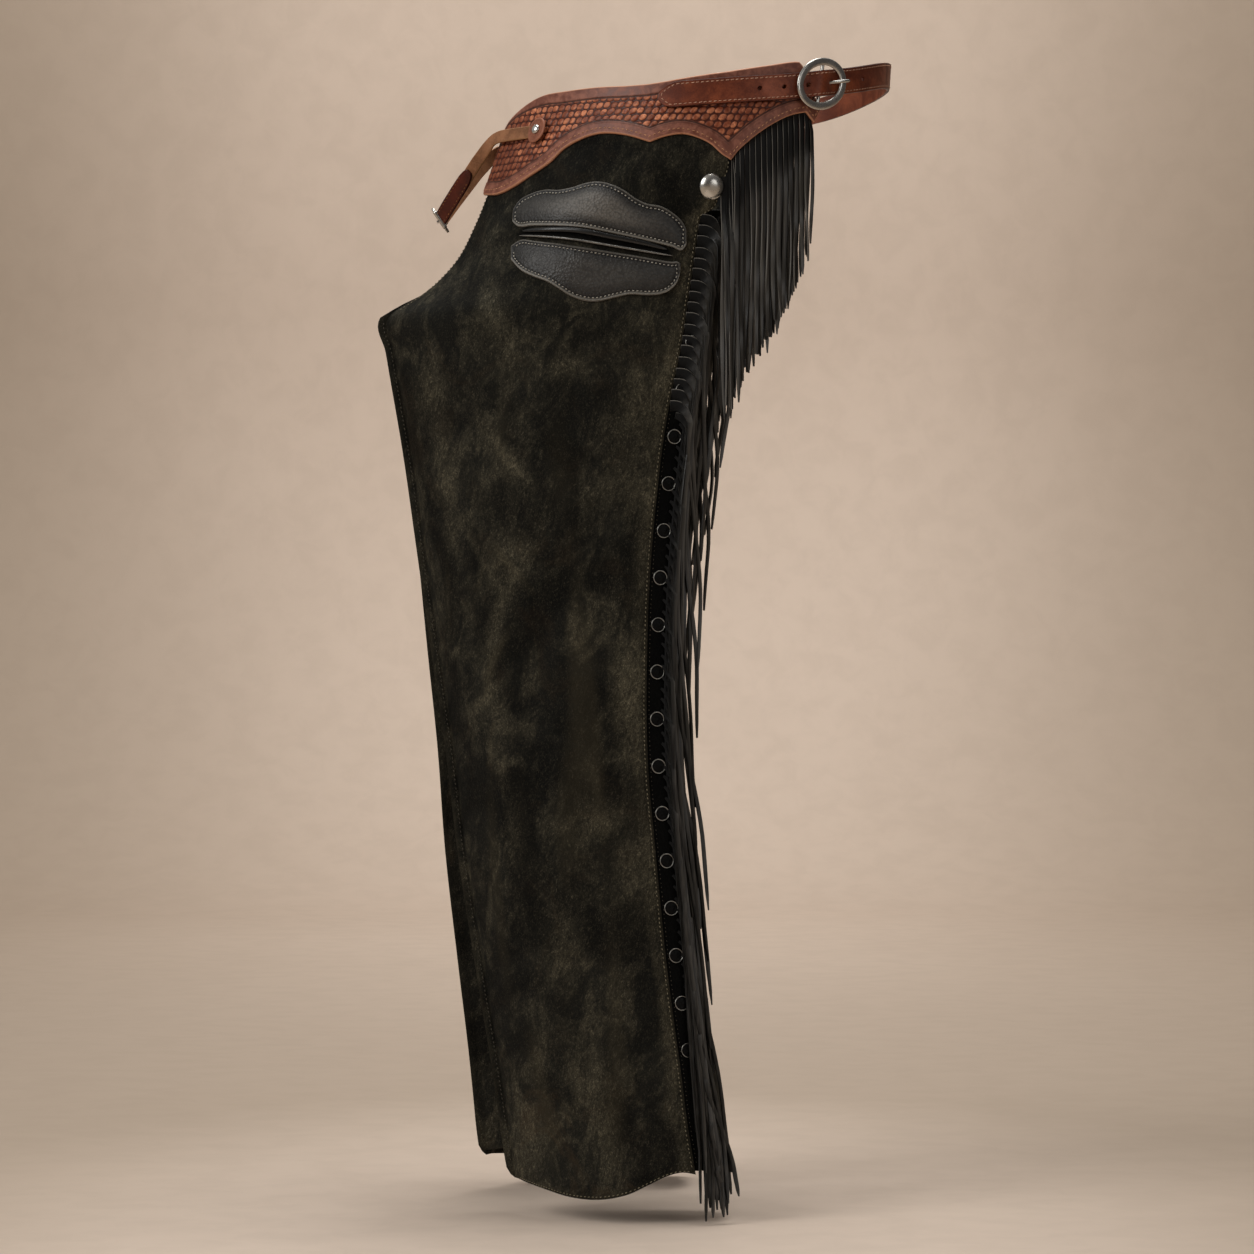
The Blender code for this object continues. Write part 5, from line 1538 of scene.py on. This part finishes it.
def rear_buckle():
    ahead = unit(np.cross((0, 0, 1), belt_out(BUCKLE_AT)))
    up = unit(belt_point(BUCKLE_AT, 0.0, BELT_HALF) - belt_point(BUCKLE_AT, 0.0, -BELT_HALF))
    out = np.cross(ahead, up)
    middle = belt_point(BUCKLE_AT, 0.0)
    turn = circle(120)[:, None]
    spoke = ahead * (RING_WIDE * np.cos(turn)) + up * (RING_HIGH * np.sin(turn))
    centre = middle + out * (RING_AT + RING_THICK / 2) + spoke
    wide = unit(ahead * (RING_HIGH * np.cos(turn)) + up * (RING_WIDE * np.sin(turn)))
    section = circle(RING_SIDES)
    across = squared(section, 0.7)[0] * RING_RIM / 2
    through = squared(section, 0.8)[1] * RING_THICK / 2
    points = centre[:, None] + wide[:, None] * across[:, None] + out * through[:, None]
    faces = hoop_faces(len(centre), RING_SIDES)
    ring = make("ring", points.reshape(-1, 3), faces, NICKEL, sharp=60)
    path = middle + out * BAR_AT + up * np.linspace(-RING_HIGH, RING_HIGH, 12)[:, None]
    bar = tube("bar", path, ahead, out, (BAR_RADIUS, BAR_RADIUS), NICKEL, sides=20)
    fit(join("look_buckle_ring", [ring, bar]))


Bend = namedtuple("Bend", "at ahead offset half")
PRONG = (
    Bend(0, 8.6, 8.4, 1.0), Bend(1, 13, 12.0, 1.3), Bend(2, 18.5, 14.2, 1.45),
    Bend(3, 23.5, 15.1, 1.45), Bend(4, 25.4, 15.0, 1.0),
)


def rear_prong():
    at = np.linspace(0, PRONG[-1].at, 40)
    ahead, offset, half = (along(PRONG, "at", name, at) for name in Bend._fields[1:])
    path = belt_point(BUCKLE_AT + ahead, offset)
    wide = np.array((0.0, 0.0, 1.0))
    out = np.cross(unit(np.gradient(path, axis=0)), wide)
    piece = tube("look_buckle_prong", path, wide, out, (half, 0.8 * half), NICKEL, sides=16)
    fit(piece)


Turn = namedtuple("Turn", "at ahead low high")
CHAPE = (
    Turn(0, -38, -2.7, -0.4), Turn(1, -22, -2.7, -0.4), Turn(2, -3.5, -2.7, -0.4),
    Turn(3, 0, -0.4, 2.0), Turn(4, 3.5, 1.8, 4.2), Turn(5, 6.5, 3.0, 5.4),
)
CHAPE_HALF = 6.8


def chape():
    at = np.linspace(0, CHAPE[-1].at, 50)[:, None]
    rise = np.linspace(-1, 1, 14)[None, :] * CHAPE_HALF
    ahead, low, high = (along(CHAPE, "at", name, at) for name in Turn._fields[1:])
    outer = belt_point(BUCKLE_AT + ahead, high, rise)
    inner = belt_point(BUCKLE_AT + ahead, low, rise)
    fit(shell("look_buckle_chape", outer, inner, BELT))


# Front strap, its billet and buckle
STRAP_HALF = 5.8
STRAP_THICK = 2.2
Laid = namedtuple("Laid", "y z lift")
STRAP_ON_YOKE = (
    Laid(-146, -32.5, 0), Laid(-158, -33.0, 0.6), Laid(-169, -33.6, 2.0), Laid(-178, -34.6, 4.0),
    Laid(-186, -37.0, 6.2),
)
Station = namedtuple("Station", "x y z tilt")
STRAP_FREE = (
    Station(56, -199, -42.5, 0.15), Station(48, -206.5, -49, 0.25), Station(37, -214, -60, 0.4),
    Station(27, -223, -73, 0.5), Station(17, -233, -87.5, 0.56), Station(8, -240.5, -99, 0.59),
    Station(0, -243.5, -104, 0.59),
)
STRAP_MIDDLE = len(STRAP_ON_YOKE) + len(STRAP_FREE) - 1
FLIP = np.array((-1.0, 1.0, 1.0))


def strap_nodes():
    """Centre points and width directions from the left rivet to the right one."""
    rest = YOKE_REST + YOKE_THICK + 2 * GAP + STRAP_THICK / 2
    points = []
    wides = []
    for y, z, lift in STRAP_ON_YOKE:
        angle = angle_at(y, z)
        points.append(lay(angle, z, rest + lift))
        wides.append(unit(lay(angle, z - STRAP_HALF, rest) - lay(angle, z + STRAP_HALF, rest)))
    for free in STRAP_FREE:
        points.append(np.array((free.x, free.y, free.z)))
        wides.append(np.array((0, math.sin(free.tilt), -math.cos(free.tilt))))
    points += [point * FLIP for point in reversed(points[:-1])]
    wides += [wide * FLIP for wide in reversed(wides[:-1])]
    return np.array(points), np.array(wides)


def curve(nodes, at):
    """Points of a smooth curve through nodes, at places counted in nodes."""
    slopes = np.gradient(nodes, axis=0)
    k = np.clip(np.floor(at).astype(int), 0, len(nodes) - 2)
    t = (at - k)[..., None]
    value = (1 + 2 * t) * (1 - t) ** 2 * nodes[k] + t * t * (3 - 2 * t) * nodes[k + 1]
    return value + t * (1 - t) ** 2 * slopes[k] - t * t * (1 - t) * slopes[k + 1]


StrapLine = namedtuple("StrapLine", "at run even rows")
STRAP_SMOOTH = 24.0
STRAP_FIRM = 12.0
STRAP_FIRM_FADE = 10.0


def strap_line():
    """The strap's line and width directions at even steps, evened out where it
    leaves the yoke."""
    points, wides = strap_nodes()
    at = np.linspace(0, len(points) - 1, 601)
    line = np.concatenate([curve(points, at), unit(curve(wides, at))], axis=1)
    run = run_along(line[:, :3])
    even = np.linspace(0, run[-1], 801)
    rows = sampled(even, run, line)
    reach = int(STRAP_SMOOTH / even[1])
    kernel = np.hanning(2 * reach + 1)
    padded = np.pad(rows, ((reach, reach), (0, 0)), mode="edge")
    smooth = np.stack([np.convolve(column, kernel / kernel.sum(), "valid") for column in padded.T], axis=1)
    from_end = np.minimum(even, even[-1] - even)
    share = ease((from_end - STRAP_FIRM) / STRAP_FIRM_FADE)[:, None]
    return StrapLine(at, run, even, mix(rows, smooth, share))


STRAP_LINE = strap_line()


def strap_frames(at):
    """Points, width directions and outward directions at places counted in nodes."""
    run = np.interp(at, STRAP_LINE.at, STRAP_LINE.run)
    here, before, after = (sampled(run + step, STRAP_LINE.even, STRAP_LINE.rows) for step in (0, -0.5, 0.5))
    ahead = unit(after[:, :3] - before[:, :3])
    wide = unit(here[:, 3:])
    wide = unit(wide - ahead * np.sum(wide * ahead, axis=-1, keepdims=True))
    return here[:, :3], wide, unit(np.cross(ahead, wide))


def band(name, at, half, low, high, look, swell=0.0):
    """A strip over the strap's line, between two heights from its middle."""
    point, wide, out = strap_frames(at)
    share = np.linspace(1, -1, 19)
    edge = (1 - np.abs(share)) * half[:, None]
    level = high + rounded_edge(edge, min(0.8, 0.45 * (high - low))) + swell * ease((edge - 1.6) / 2.5)
    across = point[:, None] + wide[:, None] * (half[:, None] * share)[..., None]
    outer = across + out[:, None] * level[..., None]
    inner = across + out[:, None] * low
    return shell(name, outer, inner, look, values={"rim": np.clip(1.1 - edge / 0.7, 0, 1)})


# The billet's widths from its tip, its swell and its two rows of sewing
Width = namedtuple("Width", "at half")
BILLET_WIDTHS = (
    Width(0, 2.4), Width(0.12, 4.4), Width(0.3, 5.6), Width(0.6, 6.4), Width(1, 6.7), Width(5, 6.8),
)
BILLET_THICK = 2.4
BILLET_SWELL = 0.4
BILLET_AHEAD = 4
BILLET_SEWING = 4.6


def front_strap():
    at = np.linspace(0, 2 * STRAP_MIDDLE, 260)
    half = np.full(260, STRAP_HALF)
    piece = band("look_front_strap", at, half, -STRAP_THICK / 2, STRAP_THICK / 2, TAN)
    fit(piece)
    first = STRAP_MIDDLE - BILLET_AHEAD
    at = np.linspace(first, STRAP_MIDDLE + 1, 90)
    half = np.interp(at - first, *zip(*BILLET_WIDTHS))
    low = STRAP_THICK / 2 + GAP
    high = low + BILLET_THICK
    piece = band("look_front_billet", at, half, low, high - BILLET_SWELL, BILLET, swell=BILLET_SWELL)
    fit(piece)
    point, wide, out = strap_frames(np.linspace(first + 0.45, STRAP_MIDDLE - 0.3, 60))
    line = point + out * (high - 0.15)
    rows = [stitches("row", line + wide * rise, out, FINE_THREAD, TAN_THREAD)
            for rise in (BILLET_SEWING, -BILLET_SEWING)]
    join("billet_stitches", rows)


FRAME_HALF_LONG = 12.2
FRAME_HALF_SHORT = 7.0
WIRE = 1.3
FRAME_AT = 2.0
FRAME_PRONG_AT = 4.9
ROLLER_HALF = 9.4
ROLLER_RADIUS = 2.1
PRONG_HALF = 1.0


def front_buckle():
    point, wide, out = [value[0] for value in strap_frames(np.array([float(STRAP_MIDDLE)]))]
    level = np.array((1.0, 0, 0))
    cos, sin = squared(circle(72) + math.pi / 72, 0.45)
    middle = point + out * FRAME_AT
    path = middle + level * (FRAME_HALF_SHORT * cos)[:, None] + wide * (FRAME_HALF_LONG * sin)[:, None]
    ahead = unit(np.roll(path, -1, axis=0) - np.roll(path, 1, axis=0))
    hoop = tube("frame", path, np.cross(ahead, out), out, (WIRE, WIRE), NICKEL, sides=12, closed=True)
    reach = np.linspace(-ROLLER_HALF, ROLLER_HALF, 24)
    swell = ROLLER_RADIUS * np.sqrt(np.clip(1 - (np.abs(reach) / (ROLLER_HALF + 0.2)) ** 16, 0.05, 1))
    path = middle + level * FRAME_HALF_SHORT + wide * reach[:, None]
    roller = tube("roller", path, level, out, (swell, swell), NICKEL, sides=20)
    fit(join("look_front_buckle", [hoop, roller]))
    long = FRAME_HALF_SHORT + 2.2
    reach = np.linspace(-long, long, 24)
    path = point + out * FRAME_PRONG_AT + level * reach[:, None]
    half = np.interp(np.abs(reach), (long - 1, long), (PRONG_HALF, 0.6 * PRONG_HALF))
    piece = tube("look_front_prong", path, wide, out, (half, 0.85 * half), NICKEL, sides=14)
    fit(piece)


TAB_Y = -148.0
TAB_Z = -32.5
TAB_SIDES = 72
TAB_LOBE = 4.25
# The tab's rings: their radii, heights and wear
Ring = namedtuple("Ring", "radius height worn")
TAB_RINGS = (
    Ring(9.2, 0.3, 0), Ring(9.9, 0.7, 0.25), Ring(10.0, 1.3, 0.5), Ring(9.7, 1.9, 0.4), Ring(9.0, 2.25, 0.2),
    Ring(8.2, 2.2, 0), Ring(7.4, 1.95, 0), Ring(6.2, 2.0, 0), Ring(5.2, 2.2, 0), Ring(3.0, 2.2, 0),
)


def strap_tab(side, tag):
    """A round-ended tab over the strap's end, and its domed rivet."""
    base = YOKE_REST + YOKE_THICK + 3 * GAP + STRAP_THICK
    low = on_skin(TAB_Y, TAB_Z, base)
    axis = unit(on_skin(TAB_Y, TAB_Z, base + 1) - low)
    level = unit(np.cross((0, 0, 1), axis))
    rise = np.cross(axis, level)
    turn = circle(TAB_SIDES)[:, None]
    reach = 1 + 0.12 * bell(turn, TAB_LOBE, 0.55) + 0.15 * np.abs(np.sin(turn)) ** 2
    spokes = level * (np.cos(turn) * reach) + rise * (np.sin(turn) * reach)
    points = np.concatenate([low + spokes * ring.radius + axis * ring.height for ring in TAB_RINGS])
    rim = np.repeat([ring.worn for ring in TAB_RINGS], TAB_SIDES)
    faces = rod_faces(len(TAB_RINGS), TAB_SIDES)
    fit(make("look_strap_tab_" + tag, points, faces, TAB, side, {"rim": rim}, sharp=60))
    rivet = stud("look_strap_rivet_" + tag, TAB_Y, TAB_Z, base + 2.3, RIVET, BRIGHT_NICKEL, side)
    fit(rivet)


def legs():
    for side, tag in ((1, "left"), (-1, "right")):
        for part in (leg_front, leg_back, yoke, placket, side_fringe, yoke_fringe, panel_stitches, pocket,
                     studs, strap_tab):
            part(side, tag)


def straps():
    for part in (belt_strap, rear_buckle, rear_prong, chape, front_strap, front_buckle):
        part()


# The studio
FLOOR = -0.995
SWEEP_BEND = 1.2
SWEEP_NEAR = 7.0
SWEEP_FAR = -4.6
SWEEP_TOP = 6.0
SWEEP_HALF = 8.0
SWEEP_STEPS = 24
# Painted pools of light on the paper: their middles, and how fast they fade on each axis
Glow = namedtuple("Glow", "middle fade")
WALL_GLOW = Glow((-5.8, -0.07, 0.3), (0.12, 0.6, 0.30))
FLOOR_GLOW = Glow((0.6, -0.08, FLOOR), (0.40, 1.1, 1.0))
CAMERA_AT = (4.6, -0.073, -0.4726)
LENS = 144.8
SENSOR = 36.0
Lamp = namedtuple("Lamp", "name place target size power")
LAMPS = (
    Lamp("key", (2.4, -2.8, 1.5), (0, 0, -0.4), (2.2, 2.2), 76),
    Lamp("fill", (3.4, 2.4, 0.5), (0, 0, -0.5), (1.8, 1.8), 15),
    Lamp("top", (-0.25, 0.15, 2.6), (0, 0, -0.5), (1.5, 1.5), 58),
    Lamp("wall", (-3.6, 0.0, 3.2), (-5.8, 0.0, 0.0), (4.0, 2.0), 112),
)
LAMP_COLOUR = (1.0, 0.99, 0.97)
ROOM_WAY = (-0.4, -0.5, 0.75)
ROOM_DIM = (0.10, 0.09, 0.085, 1)
ROOM_LIT = (0.62, 0.60, 0.57, 1)
ROOM_STRENGTH = 0.6


def backdrop():
    """A floor that sweeps up into a wall."""
    profile = [(SWEEP_NEAR, FLOOR), (SWEEP_FAR, FLOOR)]
    for k in range(1, SWEEP_STEPS + 1):
        turn = 0.5 * math.pi * k / SWEEP_STEPS
        x = SWEEP_FAR - SWEEP_BEND * math.sin(turn)
        profile.append((x, FLOOR + SWEEP_BEND * (1 - math.cos(turn))))
    profile.append((SWEEP_FAR - SWEEP_BEND, SWEEP_TOP))
    mesh = bpy.data.meshes.new("sweep")
    points = [(x, y, z) for x, z in profile for y in (-SWEEP_HALF, SWEEP_HALF)]
    faces = [(2 * k, 2 * k + 1, 2 * k + 3, 2 * k + 2) for k in range(len(profile) - 1)]
    mesh.from_pydata(points, [], faces)
    mesh.shade_smooth()
    look = Look("paper_sweep", roughness=0.9, specular=0.2)
    spread = look.noise(1.2, 2)
    cloud = look.noise(16, 5, 0.6, 0.4)
    # Painted shade on the paper away from the painted pools of light
    near_glow = look.sum("MINIMUM", look.distance(*WALL_GLOW), look.distance(*FLOOR_GLOW))
    look.between(look.span(spread, 0.3, 0.7), paint(217, 199, 183), paint(213, 195, 179))
    look.over(look.span(near_glow, 0.28, 0.86), paint(177, 160, 143))
    look.over(look.span(cloud, 0.35, 0.7, 0, 0.1), paint(150, 134, 118))
    mesh.materials.append(look.done())
    in_scene("sweep", mesh)


def light(lamp):
    data = bpy.data.lights.new(lamp.name, "AREA")
    data.shape = "RECTANGLE"
    data.size, data.size_y = lamp.size
    data.energy = lamp.power
    data.color = LAMP_COLOUR
    item = in_scene(lamp.name, data)
    item.location = lamp.place
    item.rotation_euler = (Vector(lamp.target) - Vector(lamp.place)).to_track_quat("-Z", "Y").to_euler()


def room():
    """A dim room, brighter up on the wearer's front side, for soft reflections."""
    world = bpy.data.worlds.new("room")
    world.use_nodes = True
    tree = world.node_tree
    place = add_node(tree, "ShaderNodeTexCoord", {})["Generated"]
    facing = add_node(tree, "ShaderNodeVectorMath", {0: place, 1: ROOM_WAY}, operation="DOT_PRODUCT")["Value"]
    lit = add_node(tree, "ShaderNodeMapRange", {"Value": facing, "From Min": -0.3, "From Max": 0.9})["Result"]
    blend = add_node(tree, "ShaderNodeMix", {"Factor": lit, 6: ROOM_DIM, 7: ROOM_LIT}, data_type="RGBA")[2]
    background = tree.nodes["Background"].inputs
    tree.links.new(blend, background["Color"])
    background["Strength"].default_value = ROOM_STRENGTH
    return world


def studio():
    backdrop()
    for lamp in LAMPS:
        light(lamp)
    scene = bpy.context.scene
    scene.world = room()
    scene.view_settings.view_transform = "Standard"
    data = bpy.data.cameras.new("camera")
    data.lens = LENS
    data.sensor_width = SENSOR
    camera = in_scene("camera", data)
    camera.location = CAMERA_AT
    camera.rotation_euler = (math.pi / 2, 0, math.pi / 2)
    scene.camera = camera


legs()
straps()
studio()
